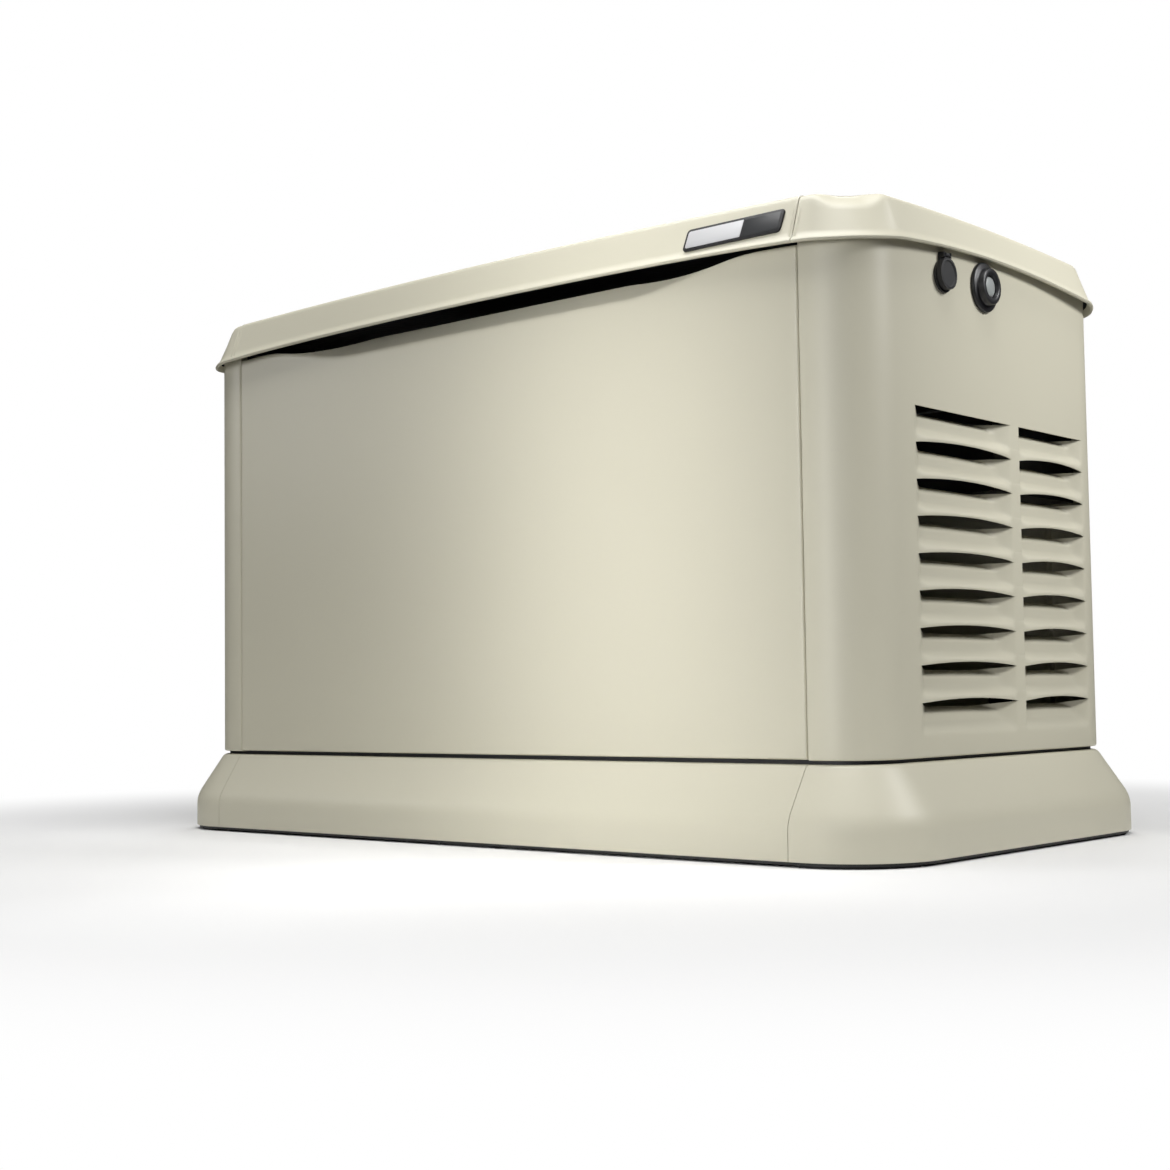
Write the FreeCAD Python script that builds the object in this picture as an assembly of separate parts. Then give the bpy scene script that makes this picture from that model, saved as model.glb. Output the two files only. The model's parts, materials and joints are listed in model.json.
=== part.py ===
"""Home standby generator in its louvred enclosure, as an assembly of separate solids.

Writes one STEP file per sub-part to parts/NODE.step.  Millimetres.  The row frame has its origin on
the ground under the middle of the base, +Z up, +X to the right and the front door facing -Y.
"""

import FreeCAD, Part
import math
import os

V = FreeCAD.Vector
X, Y, Z = V(1, 0, 0), V(0, 1, 0), V(0, 0, 1)

# ---------------------------------------------------------------- driving dimensions
# enclosure, seen from above
BODY_HX, BODY_HY = 598.0, 308.0          # half length and half depth over the panels
BODY_R = 70.0                            # vertical corner radius
SHEET = 2.0                              # panel sheet thickness
SEAM_X = 512.0                           # door and rear panel end here, side panels begin
SEAM_GAP = 0.8                           # clear gap at each panel seam

# base, from the ground up
PAD_H = 2.5                              # rubber pad thickness
FLOOR_TOP = 6.0                          # top of the base floor plate
FLOOR_OUT = 38.5                         # how far the floor plate stands out past the body
BASE_TOP = 117.0                         # panels stand on the base here
WRAP_OUT = 41.5                          # how far the base wrap stands out past the body
WRAP_BREAK = 49.0                        # height where the wrap changes from upright to sloping
WRAP_TOP = 113.0
WRAP_R = 115.0                           # wrap corner radius, lower part
WRAP_T = 4.0
ANCHOR_X, ANCHOR_Y, ANCHOR_R = 540.0, 240.0, 6.5

# lid
RIM_HX, RIM_HY, RIM_R = 609.0, 319.0, 80.0     # lower rim outline
TOP_IN = 19.0                                  # the fascia leans in by this much...
FASCIA_H = 55.0                                # ...over this height
LID_T = 3.0
LID_SEAM_X = 515.0
CROWN_TOP, CROWN_SAG_X, CROWN_SAG_Y = 788.0, 11.0, 10.0
RIM_TOP, RIM_SAG_X, RIM_SAG_Y = 741.3, 13.3, 18.3
TUCK = 9.0                                     # side and rear panels reach this far up inside the rim
LEAN = TOP_IN / FASCIA_H
MEAN_RIM = RIM_TOP - RIM_SAG_Y                 # the fascia meets the rim outline at this height

# front door: its hand scoop is pressed in under the lid, and its top edge leaves an opening above
SCOOP_Z, SCOOP_HALF = 687.0, 260.0       # height and half length of the scoop's level lip
SCOOP_END_X, SCOOP_END_Z = 430.0, 714.0  # the lip has risen to here at each end
SCOOP_RISE, SCOOP_DEEP = 25.0, 28.0      # the scoop's back slopes in by this depth over this rise
DOOR_EDGE = ((0, 713), (200, 712), (300, 709), (385, 703.5), (440, 713), (512, 711.5), (540, 711))

# louvres: (start, end) of each column along its panel
ROWS, PITCH, SLIT_TOP = 9, 43.44, 527.8
RIGHT_COLUMNS = ((-197.0, 36.4), (57.1, 234.5))
LEFT_COLUMNS = ((-210.0, -12.0), (12.0, 210.0))
REAR_COLUMNS = ((10.0, 200.0), (220.0, 410.0))
REAR_ROWS, REAR_SLIT_TOP = 6, 560.0
SLIT_GAP, BLADE_IN, BLADE_OUT = 9.0, 18.0, 4.0

# hinges of the lid, along X behind the rear rim
HINGE_X, HINGE_Y, HINGE_Z, HINGE_W = 350.0, 320.0, 706.0, 60.0
KNUCKLE_R, HINGE_PIN_R = 7.0, 3.0

# a lock on each end panel, and a status light on the right-hand one
LOCK_Y, LOCK_Z, LOCK_R = -125.6, 691.0, 20.0
PLUG_R, RUN = 8.0, 0.05                  # lock plug radius, running clearance
CAP_R, CAP_RISE = 19.0, 1.8              # the cap sits this much above the middle of the lock
CAP_PIVOT_Z, CAP_PIVOT_X = 715.8, 604.0
CAP_START = BODY_HX + 3.2                # the cap lies this far out, just clear of the lock flange
LIGHT_Y, LIGHT_Z, LIGHT_R = -26.0, 693.0, 31.0

# drive line
CRANK_Z, SHAFT_R = 270.0, 25.0
CASE_X0, CASE_X1, CASE_HY = -170.0, 50.0, 120.0
CASE_PAD_Y = -124.0                      # machined pads on the front of the crankcase
CYL_START, CYL_END, HEAD_END, COVER_END = 110.0, 215.0, 262.0, 296.0
CYL_X = (-95.0, -35.0)                   # left and right bank positions along the crankshaft
FAN_R, HOUSING_R = 150.0, 170.0
CAN_R, CAN_X1 = 125.0, 300.0
MOUNT_X, MOUNT_Y, MOUNT_R = (-150.0, 250.0), 110.0, 25.0
RAIL_TOP, MOUNT_TOP = 66.0, 96.0

# exhaust compartment
DIVIDER_X = -300.0
MUFFLER_X, MUFFLER_Z, MUFFLER_R, MUFFLER_HY = -450.0, 300.0, 75.0, 200.0

# controls: the sloping face turns its back on the rear right-hand corner
BOX_X0, BOX_X1, BOX_BACK = 330.0, 560.0, 285.0
FACE_ORIGIN = V(445.0, 125.0, 625.0)     # middle of the sloping face
FACE_TILT = 45.0
FACE_T = 3.0
BUTTON_R, BUTTON_UP, BUTTON_GAP = 9.0, 3.0, 0.1
BUTTONS = {"auto_button": -92.0, "off_button": -62.0, "manual_button": -32.0}
BUTTON_V = -38.0
BREAKER_U = 82.0
TOGGLE_V = 0.0

# services on the rear panel
FUEL_X, FUEL_Z, FUEL_BORE_R, FUEL_DEPTH = 175.0, 250.0, 12.1, 25.0
CONDUIT_X, CONDUIT_Z, CONDUIT_R = 430.0, 180.0, 17.5

BATTERY = (328.0, 501.0, -266.0, -58.0, FLOOR_TOP, 203.0)

DIP_X, DIP_Y = 35.0, -160.0
STARTER_Y, STARTER_Z = -160.0, 225.0


# ---------------------------------------------------------------- shape helpers
def box(x0, x1, y0, y1, z0, z1):
    return Part.makeBox(x1 - x0, y1 - y0, z1 - z0, V(x0, y0, z0))


def rod(radius, start, end):
    """A solid cylinder from one point to another."""
    span = end - start
    return Part.makeCylinder(radius, span.Length, start, span)


def tube(outer, inner, start, end):
    return rod(outer, start, end).cut(rod(inner, start, end))


def prism(points, direction):
    """A closed polygon of points, pushed along a direction."""
    return Part.Face(Part.makePolygon([*points, points[0]])).extrude(direction)


def outline(hx, hy, radius, z):
    """A rounded rectangle, as a closed wire at height z."""
    k = radius * (1 - math.sqrt(0.5))
    edges = []
    corners = ((1, 1), (-1, 1), (-1, -1), (1, -1))
    for n, (sx, sy) in enumerate(corners):
        along_x = V(sx * (hx - radius), sy * hy, z)
        along_y = V(sx * hx, sy * (hy - radius), z)
        first, last = (along_y, along_x) if n % 2 == 0 else (along_x, along_y)
        middle = V(sx * (hx - k), sy * (hy - k), z)
        if edges:
            edges.append(Part.makeLine(edges[-1].lastVertex().Point, first))
        edges.append(Part.Arc(first, middle, last).toShape())
    edges.append(Part.makeLine(edges[-1].lastVertex().Point, edges[0].firstVertex().Point))
    return Part.Wire(edges)


def slab(hx, hy, radius, z0, z1):
    return Part.Face(outline(hx, hy, radius, z0)).extrude(V(0, 0, z1 - z0))


def crowned(z_top, sag_x, half_x, sag_y, half_y):
    """Everything under a shallow dome that falls by sag_x at half_x and by sag_y at half_y."""
    reach = half_x + 120.0
    radius_x = half_x**2 / (2 * sag_x)
    radius_y = half_y**2 / (2 * sag_y)
    spread = math.degrees((half_y + 120.0) / radius_y)
    axis_z = z_top - radius_y
    drop = radius_x - math.sqrt(radius_x**2 - reach**2)
    arc = Part.Arc(V(-reach, 0, z_top - drop), V(0, 0, z_top), V(reach, 0, z_top - drop)).toShape()
    right, left = V(reach, 0, z_top - drop), V(-reach, 0, z_top - drop)
    foot = Part.makePolygon([right, V(reach, 0, axis_z), V(-reach, 0, axis_z), left])
    face = Part.Face(Part.Wire([arc, *foot.Edges]))
    face.rotate(V(0, 0, axis_z), X, -spread)
    return face.revolve(V(0, 0, axis_z), X, 2 * spread)


def hose(points, radius):
    """A round hose swept through the points."""
    curve = Part.BSplineCurve()
    curve.interpolate([V(*p) for p in points])
    path = Part.Wire(curve.toShape())
    start, tangent = curve.value(0.0), curve.tangent(0.0)[0]
    section = Part.Wire(Part.makeCircle(radius, start, tangent))
    return path.makePipeShell([section], True, False)


def fused(first, *others):
    return first.fuse(list(others)).removeSplitter() if others else first


def mirrored(shape):
    """The same piece on the other end of the generator."""
    return shape.mirror(V(0, 0, 0), X)


def on_face(shape):
    """Moves a piece drawn on the XY plane, facing +Z, to the sloping control face."""
    placed = shape.copy()
    placed.rotate(V(0, 0, 0), X, FACE_TILT)
    placed.translate(FACE_ORIGIN)
    return placed


def write(name, *solids):
    shape = solids[0] if len(solids) == 1 else Part.makeCompound(list(solids))
    shape.exportStep(f"parts/{name}.step")


# ---------------------------------------------------------------- base and base wrap
def base_tray():
    floor = slab(BODY_HX + FLOOR_OUT, BODY_HY + FLOOR_OUT, WRAP_R - 5, PAD_H, FLOOR_TOP)
    wall = slab(BODY_HX - 8, BODY_HY - 8, 62, FLOOR_TOP, BASE_TOP)
    wall = wall.cut(slab(BODY_HX - 11, BODY_HY - 11, 59, FLOOR_TOP, BASE_TOP - 3))
    wall = wall.cut(slab(BODY_HX - 33, BODY_HY - 33, 40, FLOOR_TOP, BASE_TOP))
    rails = [box(x - 30, x + 30, -(BODY_HY - 11), BODY_HY - 11, FLOOR_TOP, RAIL_TOP) for x in MOUNT_X]
    tray = fused(floor, wall, *rails)
    for x in (-ANCHOR_X, ANCHOR_X):
        for y in (-ANCHOR_Y, ANCHOR_Y):
            tray = tray.cut(rod(ANCHOR_R, V(x, y, 0), V(x, y, 20)))
    return tray


def rubber_feet():
    """Six flat pads under the rim of the floor plate, cut to its rounded outline."""
    edge = slab(BODY_HX + FLOOR_OUT - 4, BODY_HY + FLOOR_OUT - 4, WRAP_R - 9, 0, PAD_H)
    pads = []
    for x0, x1 in ((-640, -522), (-50, 50), (522, 640)):
        for y0, y1 in ((-350, -262), (262, 350)):
            pads += edge.common(box(x0, x1, y0, y1, 0, PAD_H)).Solids
    return pads


def wrap_ring():
    """The whole skirt round the base: upright below, sloping in to the panels above."""

    def shell(inset):
        low = outline(BODY_HX + WRAP_OUT - inset, BODY_HY + WRAP_OUT - inset, WRAP_R - inset, FLOOR_TOP)
        bend = outline(BODY_HX + WRAP_OUT - inset, BODY_HY + WRAP_OUT - inset, WRAP_R - inset, WRAP_BREAK)
        top = outline(BODY_HX - inset, BODY_HY - inset, BODY_R + 2 - inset, WRAP_TOP)
        return Part.makeLoft([low, bend, top], True, True)

    return shell(0).cut(shell(WRAP_T))


def write_wrap():
    ring = wrap_ring()
    far, deep = 700.0, 400.0
    inner = SEAM_X - SEAM_GAP / 2
    outer = SEAM_X + SEAM_GAP / 2
    write("base_wrap_front", ring.common(box(-inner, inner, -deep, 0, 0, 200)))
    write("base_wrap_rear", ring.common(box(-inner, inner, 0, deep, 0, 200)))
    ends = [ring.common(box(x0, x1, -deep, deep, 0, 200)) for x0, x1 in ((-far, -outer), (outer, far))]
    write("base_wrap_ends", *ends)


# ---------------------------------------------------------------- panels
def under_rim():
    """The space under the dome that the panels' top edges follow, just inside the lid's rim."""
    return crowned(RIM_TOP + TUCK, RIM_SAG_X, RIM_HX, RIM_SAG_Y, RIM_HY)


def sheet_ring():
    """The body's sheet walls all round, with an inward flange at the foot."""
    outer = slab(BODY_HX, BODY_HY, BODY_R, BASE_TOP, RIM_TOP + TUCK)
    inner = slab(BODY_HX - SHEET, BODY_HY - SHEET, BODY_R - SHEET, BASE_TOP + SHEET, RIM_TOP + TUCK)
    hole = slab(BODY_HX - 25, BODY_HY - 25, BODY_R - 25, BASE_TOP, BASE_TOP + SHEET)
    return outer.cut(inner).cut(hole).common(under_rim())


def louvres(y0, y1, rows, pitch, top):
    """(hole to cut, blades to add) for one column of pressed louvres in a panel facing +X.

    Each blade starts recessed under its slit and ends a little proud of the panel below.
    """
    bottom = top - rows * pitch + 6
    hole = box(BODY_HX - SHEET, BODY_HX, y0, y1, bottom, top)
    cheeks = [
        box(BODY_HX - BLADE_IN, BODY_HX - SHEET, y - 1.5, y + 1.5, bottom - 2, top + 2) for y in (y0, y1)
    ]
    blades = []
    for row in range(rows):
        head = top - row * pitch - SLIT_GAP
        foot = top - (row + 1) * pitch + (6 if row == rows - 1 else 0)
        proud = 0 if row == rows - 1 else BLADE_OUT
        section = [
            V(BODY_HX - BLADE_IN, y0, head),
            V(BODY_HX - BLADE_IN + 2, y0, head),
            V(BODY_HX + proud, y0, foot + 8),
            V(BODY_HX + proud, y0, foot),
            V(BODY_HX + proud - 2, y0, foot),
            V(BODY_HX + proud - 2, y0, foot + 7),
        ]
        blades.append(prism(section, V(0, y1 - y0, 0)))
    return hole, [*cheeks, *blades]


def add_louvres(panel, columns, rows, pitch, top, turn=0):
    """Cuts columns of louvres into a panel; turn is 0 for the +X side and 180 for the -X side."""
    holes, blades = [], []
    for y0, y1 in columns:
        hole, more = louvres(y0, y1, rows, pitch, top)
        holes.append(hole)
        blades += more
    for piece in (*holes, *blades):
        if turn:
            piece.rotate(V(0, 0, 0), Z, turn)
    return fused(panel.cut(holes), *blades)


def side_panel(ring, side):
    """One end of the enclosure with its two rounded corners; side is +1 for right and -1 for left."""
    low, high = sorted((side * (SEAM_X + SEAM_GAP / 2), side * 700.0))
    panel = ring.common(box(low, high, -400, 400, 0, 800))
    lips = []
    for y0, y1 in ((-(BODY_HY - SHEET), -(BODY_HY - 17)), (BODY_HY - 17, BODY_HY - SHEET)):
        edge = sorted((side * (SEAM_X + SEAM_GAP / 2), side * (SEAM_X + SEAM_GAP / 2 + SHEET)))
        lips.append(box(*edge, y0, y1, BASE_TOP + SHEET, 700.0))
    panel = fused(panel, *lips)
    columns = RIGHT_COLUMNS if side > 0 else LEFT_COLUMNS
    panel = add_louvres(panel, columns, ROWS, PITCH, SLIT_TOP, 0 if side > 0 else 180)
    reach = V(side * (BODY_HX - 10), LOCK_Y, LOCK_Z)
    panel = panel.cut(rod(11.2, reach, reach + V(side * 20, 0, 0)))
    if side > 0:
        start = V(BODY_HX - 10, LIGHT_Y, LIGHT_Z)
        panel = panel.cut(rod(14.2, start, start + V(20, 0, 0)))
    return panel


def scoop(inset):
    """The hand scoop under the lid's front edge, a wedge that is deepest at the top."""
    top = 760.0
    climb = top - SCOOP_Z
    deep = SCOOP_DEEP * climb / SCOOP_RISE
    flare = (SCOOP_END_X - SCOOP_HALF) * climb / (SCOOP_END_Z - SCOOP_Z)
    front, back, low = -BODY_HY + inset, -BODY_HY + deep + inset, SCOOP_Z - inset
    a1, a2 = V(-SCOOP_HALF, front, low), V(SCOOP_HALF, front, low)
    b1, b2 = V(-SCOOP_HALF - flare, front, top), V(SCOOP_HALF + flare, front, top)
    t1, t2 = V(-SCOOP_HALF - climb, back, top), V(SCOOP_HALF + climb, back, top)
    faces = [
        Part.Face(Part.makePolygon([*loop, loop[0]]))
        for loop in ((a1, a2, b2, b1), (a1, t1, t2, a2), (a2, t2, b2), (a1, b1, t1), (b1, b2, t2, t1))
    ]
    return Part.Solid(Part.Shell(faces))


def above_door():
    """The space above the door's top edge, which dips where the scoop runs out on each side."""
    half = [V(x, -400, z) for x, z in DOOR_EDGE]
    points = [V(-p.x, p.y, p.z) for p in reversed(half[1:])] + half
    curve = Part.BSplineCurve()
    curve.interpolate(points)
    corners = [points[-1], V(points[-1].x, -400, 800), V(points[0].x, -400, 800), points[0]]
    roof = Part.makePolygon(corners)
    return Part.Face(Part.Wire([curve.toShape(), *roof.Edges])).extrude(V(0, 200, 0))


def front_panel():
    """The lift-off door: a flanged sheet with the hand scoop pressed into its top edge."""
    half = SEAM_X - SEAM_GAP / 2
    foot = BASE_TOP + 1.0
    face = box(-half, half, -BODY_HY, -BODY_HY + SHEET, foot, 760)
    flange = box(-half, half, -BODY_HY + SHEET, -BODY_HY + 37, foot, foot + SHEET)
    hooks = [box(x - 40, x + 40, -BODY_HY + 35, -BODY_HY + 37, foot - 8, foot) for x in (-350, 350)]
    sides = []
    for x0, x1 in ((-half, -half + SHEET), (half - SHEET, half)):
        sides.append(box(x0, x1, -BODY_HY + SHEET, -BODY_HY + 15, foot, 700))
    door = fused(face, flange, *hooks, *sides, scoop(SHEET)).cut([scoop(0), above_door()])
    return max(door.Solids, key=lambda solid: solid.Volume)


def rear_panel(ring):
    """The back of the enclosure, with intake louvres, the fuel opening and the conduit opening."""
    half = SEAM_X - SEAM_GAP / 2
    panel = ring.common(box(-half, half, 200, 400, 0, 800))
    panel.rotate(V(0, 0, 0), Z, -90)
    panel.translate(V(BODY_HX - BODY_HY, 0, 0))
    panel = add_louvres(panel, REAR_COLUMNS, REAR_ROWS, PITCH, REAR_SLIT_TOP)
    panel.translate(V(BODY_HY - BODY_HX, 0, 0))
    panel.rotate(V(0, 0, 0), Z, 90)
    cuts = [rod(19.0, V(FUEL_X, 290, FUEL_Z), V(FUEL_X, 330, FUEL_Z))]
    cuts.append(rod(CONDUIT_R, V(CONDUIT_X, 290, CONDUIT_Z), V(CONDUIT_X, 330, CONDUIT_Z)))
    cuts += [rod(2.6, place - 6 * Y, place + 3 * Y) for place in rear_screws()]
    return panel.cut(cuts)


def rear_screws():
    return [V(x, BODY_HY, z) for x in (-490.0, -170.0, 170.0, 490.0) for z in (135.0, 600.0)]


def divider_panel():
    """Sheet wall between the engine and the exhaust compartment, open round the cooling fan."""
    half = BODY_HY - 40
    wall = box(DIVIDER_X, DIVIDER_X + SHEET, -half, half, FLOOR_TOP, 680)
    foot = box(DIVIDER_X, DIVIDER_X + 25, -half, half, FLOOR_TOP, FLOOR_TOP + SHEET)
    cuts = [rod(140.0, V(DIVIDER_X - 5, 0, CRANK_Z), V(DIVIDER_X + 10, 0, CRANK_Z))]
    for side in (-1, 1):
        cuts.append(rod(24.0, V(DIVIDER_X - 5, side * 225, 440), V(DIVIDER_X + 10, side * 225, 440)))
    return fused(wall, foot).cut(cuts)


# ---------------------------------------------------------------- lid
def lid_blank(inset):
    """The lid as a full block: a tapered, rounded outline under a shallow dome."""
    wires = []
    for z in (MEAN_RIM - 40, MEAN_RIM + 80):
        move = (MEAN_RIM - z) * LEAN - inset
        wires.append(outline(RIM_HX + move, RIM_HY + move, RIM_R + move, z))
    block = Part.makeLoft(wires, True, True)
    return block.common(crowned(CROWN_TOP - inset, CROWN_SAG_X, RIM_HX, CROWN_SAG_Y, RIM_HY))


def lid_shell():
    below = crowned(RIM_TOP, RIM_SAG_X, RIM_HX, RIM_SAG_Y, RIM_HY)
    return lid_blank(0).cut(lid_blank(LID_T)).cut(below)


def lid_end(shell, side):
    """One end of the lid, with the slotted striker that its lock's cam turns into."""
    low, high = sorted((side * (LID_SEAM_X + 0.3), side * 700.0))
    end = shell.common(box(low, high, -400, 400, 600, 900))
    striker = box(555, 575, LOCK_Y + 20, LOCK_Y + 22, 664, 785)
    striker = striker.cut(box(560, 571, LOCK_Y + 19, LOCK_Y + 23, 674, 702))
    striker = striker.common(crowned(CROWN_TOP - 1, CROWN_SAG_X, RIM_HX, CROWN_SAG_Y, RIM_HY))
    if side < 0:
        striker = mirrored(striker)
    return fused(end, striker)


def lid_liner():
    """The foam sheet glued under the lid's skin."""
    top = crowned(CROWN_TOP - LID_T, CROWN_SAG_X, RIM_HX, CROWN_SAG_Y, RIM_HY)
    low = crowned(CROWN_TOP - LID_T - 14, CROWN_SAG_X, RIM_HX, CROWN_SAG_Y, RIM_HY)
    return slab(540, 262, 40, 700, 800).common(top).cut(low)


def lid_badge():
    """Blank plate on the lid's front fascia, a slanted parallelogram with rounded corners."""
    x0, x1, low, high, slant, thick = 352.0, 490.0, 727.5, 756.0, 9.0, 2.5

    def corner(x, z):
        return V(x, -(RIM_HY + (MEAN_RIM - z) * LEAN), z)

    face = [corner(x0, low), corner(x1, low), corner(x1 + slant, high), corner(x0 + slant, high)]
    out = V(0, -1, LEAN)
    plate = prism(face, out * (thick / out.Length))
    sides = [e for e in plate.Edges if abs(abs(e.tangentAt(0).dot(out)) - out.Length) < 0.01]
    return plate.makeFillet(5.0, sides)


def hinge_body_leaf(x):
    """The body's half of a hinge: a plate on the rear panel and an arm up to the middle knuckle."""
    back = BODY_HY
    mid = 13.0
    plate = box(x - HINGE_W / 2, x + HINGE_W / 2, back, back + 3, 640, 696)
    section = ((back, 690), (back + 3, 680), (HINGE_Y + 6, 702), (HINGE_Y - 6, 708))
    arm = prism([V(x - mid, y, z) for y, z in section], V(2 * mid, 0, 0))
    knuckle = rod(KNUCKLE_R, V(x - mid, HINGE_Y, HINGE_Z), V(x + mid, HINGE_Y, HINGE_Z))
    bore = rod(HINGE_PIN_R + RUN, V(x - 50, HINGE_Y, HINGE_Z), V(x + 50, HINGE_Y, HINGE_Z))
    return fused(plate, arm, knuckle).cut(bore)


def hinge_lid_leaf(x):
    """The lid's half of a hinge: two outer knuckles on a plate that lies along the sloping fascia."""
    mid = 13.5
    rim = MEAN_RIM - RIM_SAG_X * (x / RIM_HX) ** 2

    def fascia_y(z):
        return RIM_HY + (MEAN_RIM - z) * LEAN

    parts = []
    low, high = rim - 2, rim + 32
    for x0, x1 in ((x - HINGE_W / 2, x - mid), (x + mid, x + HINGE_W / 2)):
        section = [
            V(x0, HINGE_Y - 4, HINGE_Z + 2),
            V(x0, HINGE_Y + 6, HINGE_Z + 2),
            V(x0, fascia_y(low) + 5, low),
            V(x0, fascia_y(high) + 4, high),
            V(x0, fascia_y(high), high),
            V(x0, fascia_y(low), low),
        ]
        parts.append(prism(section, V(x1 - x0, 0, 0)))
        parts.append(rod(KNUCKLE_R, V(x0, HINGE_Y, HINGE_Z), V(x1, HINGE_Y, HINGE_Z)))
    middle = [
        V(x - mid, fascia_y(rim + 12) + 4, rim + 12),
        V(x - mid, fascia_y(rim + 32) + 4, rim + 32),
        V(x - mid, fascia_y(rim + 32), rim + 32),
        V(x - mid, fascia_y(rim + 12), rim + 12),
    ]
    parts.append(prism(middle, V(2 * mid, 0, 0)))
    bore = rod(HINGE_PIN_R, V(x - 50, HINGE_Y, HINGE_Z), V(x + 50, HINGE_Y, HINGE_Z))
    return fused(*parts).cut(bore)


def hinge_pin(x):
    half = HINGE_W / 2
    pin = rod(HINGE_PIN_R, V(x - half, HINGE_Y, HINGE_Z), V(x + half, HINGE_Y, HINGE_Z))
    head = rod(HINGE_PIN_R + 2, V(x - half - 2, HINGE_Y, HINGE_Z), V(x - half, HINGE_Y, HINGE_Z))
    return fused(pin, head)


# ---------------------------------------------------------------- locks and status light
def lock_at(x):
    return V(x, LOCK_Y, LOCK_Z)


def lock_body():
    """Barrel, outer flange, and a backplate with two little ears that carry the cap's pivot."""
    body = rod(LOCK_R, lock_at(BODY_HX), lock_at(BODY_HX + 3))
    barrel = rod(11.0, lock_at(BODY_HX - 28), lock_at(BODY_HX))
    low, high = CAP_PIVOT_Z - 3.3, CAP_PIVOT_Z + 3
    backplate = box(BODY_HX, BODY_HX + 3, LOCK_Y - 8.5, LOCK_Y + 8.5, LOCK_Z + 12, high)
    body = fused(body, barrel, backplate)
    for y in (LOCK_Y - 8.5, LOCK_Y + 6.5):
        body = fused(body, box(BODY_HX, CAP_PIVOT_X + 2.5, y, y + 2, low, high))
    pivot = V(CAP_PIVOT_X, LOCK_Y, CAP_PIVOT_Z)
    pivot_bore = rod(1.5 + RUN, pivot - 10 * Y, pivot + 10 * Y)
    plug = rod(PLUG_R + RUN, lock_at(BODY_HX - 40), lock_at(BODY_HX + 10))
    return body.cut([pivot_bore, plug])


def lock_cam():
    """Key plug with its cam arm in the unlocked place, hanging down."""
    plug = rod(PLUG_R, lock_at(BODY_HX - 33), lock_at(BODY_HX + 2.5))
    plug = plug.cut(box(BODY_HX - 6, BODY_HX + 5, LOCK_Y - 1, LOCK_Y + 1, LOCK_Z - 5, LOCK_Z + 5))
    arm = box(BODY_HX - 33, BODY_HX - 30, LOCK_Y - 4, LOCK_Y + 4, LOCK_Z - 23, LOCK_Z)
    return fused(plug, arm)


def lock_cap():
    """Rubber weather cap over the keyhole, with its strap and pivot above."""

    def across(radius, half):
        pivot = V(CAP_PIVOT_X, LOCK_Y, CAP_PIVOT_Z)
        return rod(radius, pivot - half * Y, pivot + half * Y)

    rise = CAP_RISE * Z
    disc = rod(CAP_R, lock_at(CAP_START) + rise, lock_at(CAP_START + 5) + rise)
    rim = tube(CAP_R, CAP_R - 3, lock_at(CAP_START + 5) + rise, lock_at(CAP_START + 6.5) + rise)
    strap = box(CAP_START, CAP_START + 3.5, LOCK_Y - 4.5, LOCK_Y + 4.5, LOCK_Z + 10, CAP_PIVOT_Z)
    return fused(disc, rim, strap, across(1.5, 8.5), across(2.8, 4.5))


def light_at(x):
    return V(x, LIGHT_Y, LIGHT_Z)


def status_light_bezel():
    flange = rod(LIGHT_R, light_at(BODY_HX), light_at(BODY_HX + 4))
    ring = rod(20.0, light_at(BODY_HX + 4), light_at(BODY_HX + 12))
    neck = rod(14.0, light_at(BODY_HX - 15), light_at(BODY_HX))
    return fused(flange, ring, neck).cut(rod(12.0, light_at(BODY_HX - 15), light_at(BODY_HX + 12)))


def status_light_lens():
    lens = rod(12.0, light_at(BODY_HX - 12), light_at(BODY_HX + 9))
    dome = Part.makeSphere(26.0, light_at(BODY_HX - 14))
    return fused(lens, dome.common(rod(12.0, light_at(BODY_HX + 9), light_at(BODY_HX + 14))))


# ---------------------------------------------------------------- controls
def control_box():
    """Wedge-shaped housing behind the sloping face, with two brackets to the rear panel."""

    def wedge(x0, x1, inset):
        back, top, low = BOX_BACK - inset, 690 - inset, 450 + inset
        section = ((back, low), (back, top), (190, top), (60 + inset, 560), (60 + inset, low))
        return prism([V(x0, y, z) for y, z in section], V(x1 - x0, 0, 0))

    case = wedge(BOX_X0, BOX_X1, 0).cut(wedge(BOX_X0 + 3, BOX_X1 - 3, 3))
    inner_face = BODY_HY - SHEET
    brackets = [box(x, x + 25, BOX_BACK, inner_face, 600, 625) for x in (345, 445)]
    return fused(case.cut(on_face(box(-110, 110, -82, 82, -40, 10))), *brackets)


def control_face():
    """Face plate with a display opening, three button openings and the breaker opening."""
    half = (BOX_X1 - BOX_X0) / 2
    plate = box(-half, half, -91.5, 91.5, 0, FACE_T)
    cuts = [box(-108, -16, 10, 62, -1, 10), box(BREAKER_U - 24, BREAKER_U + 24, -45, 45, -1, 10)]
    for u in BUTTONS.values():
        cuts.append(rod(BUTTON_R + BUTTON_GAP, V(u, BUTTON_V, -1), V(u, BUTTON_V, 10)))
    return on_face(plate.cut(cuts))


def display_window():
    glass = box(-108, -16, 10, 62, 0.5, FACE_T - 0.5)
    frame = box(-104, -20, 14, 58, -12, 0.5)
    return on_face(fused(glass, frame))


def button(u):
    """A push button whose flange keeps it from coming out through the face."""
    cap = rod(BUTTON_R, V(u, BUTTON_V, -3), V(u, BUTTON_V, FACE_T + BUTTON_UP))
    flange = rod(BUTTON_R + 3, V(u, BUTTON_V, -5), V(u, BUTTON_V, 0))
    return on_face(fused(cap, flange))


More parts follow.
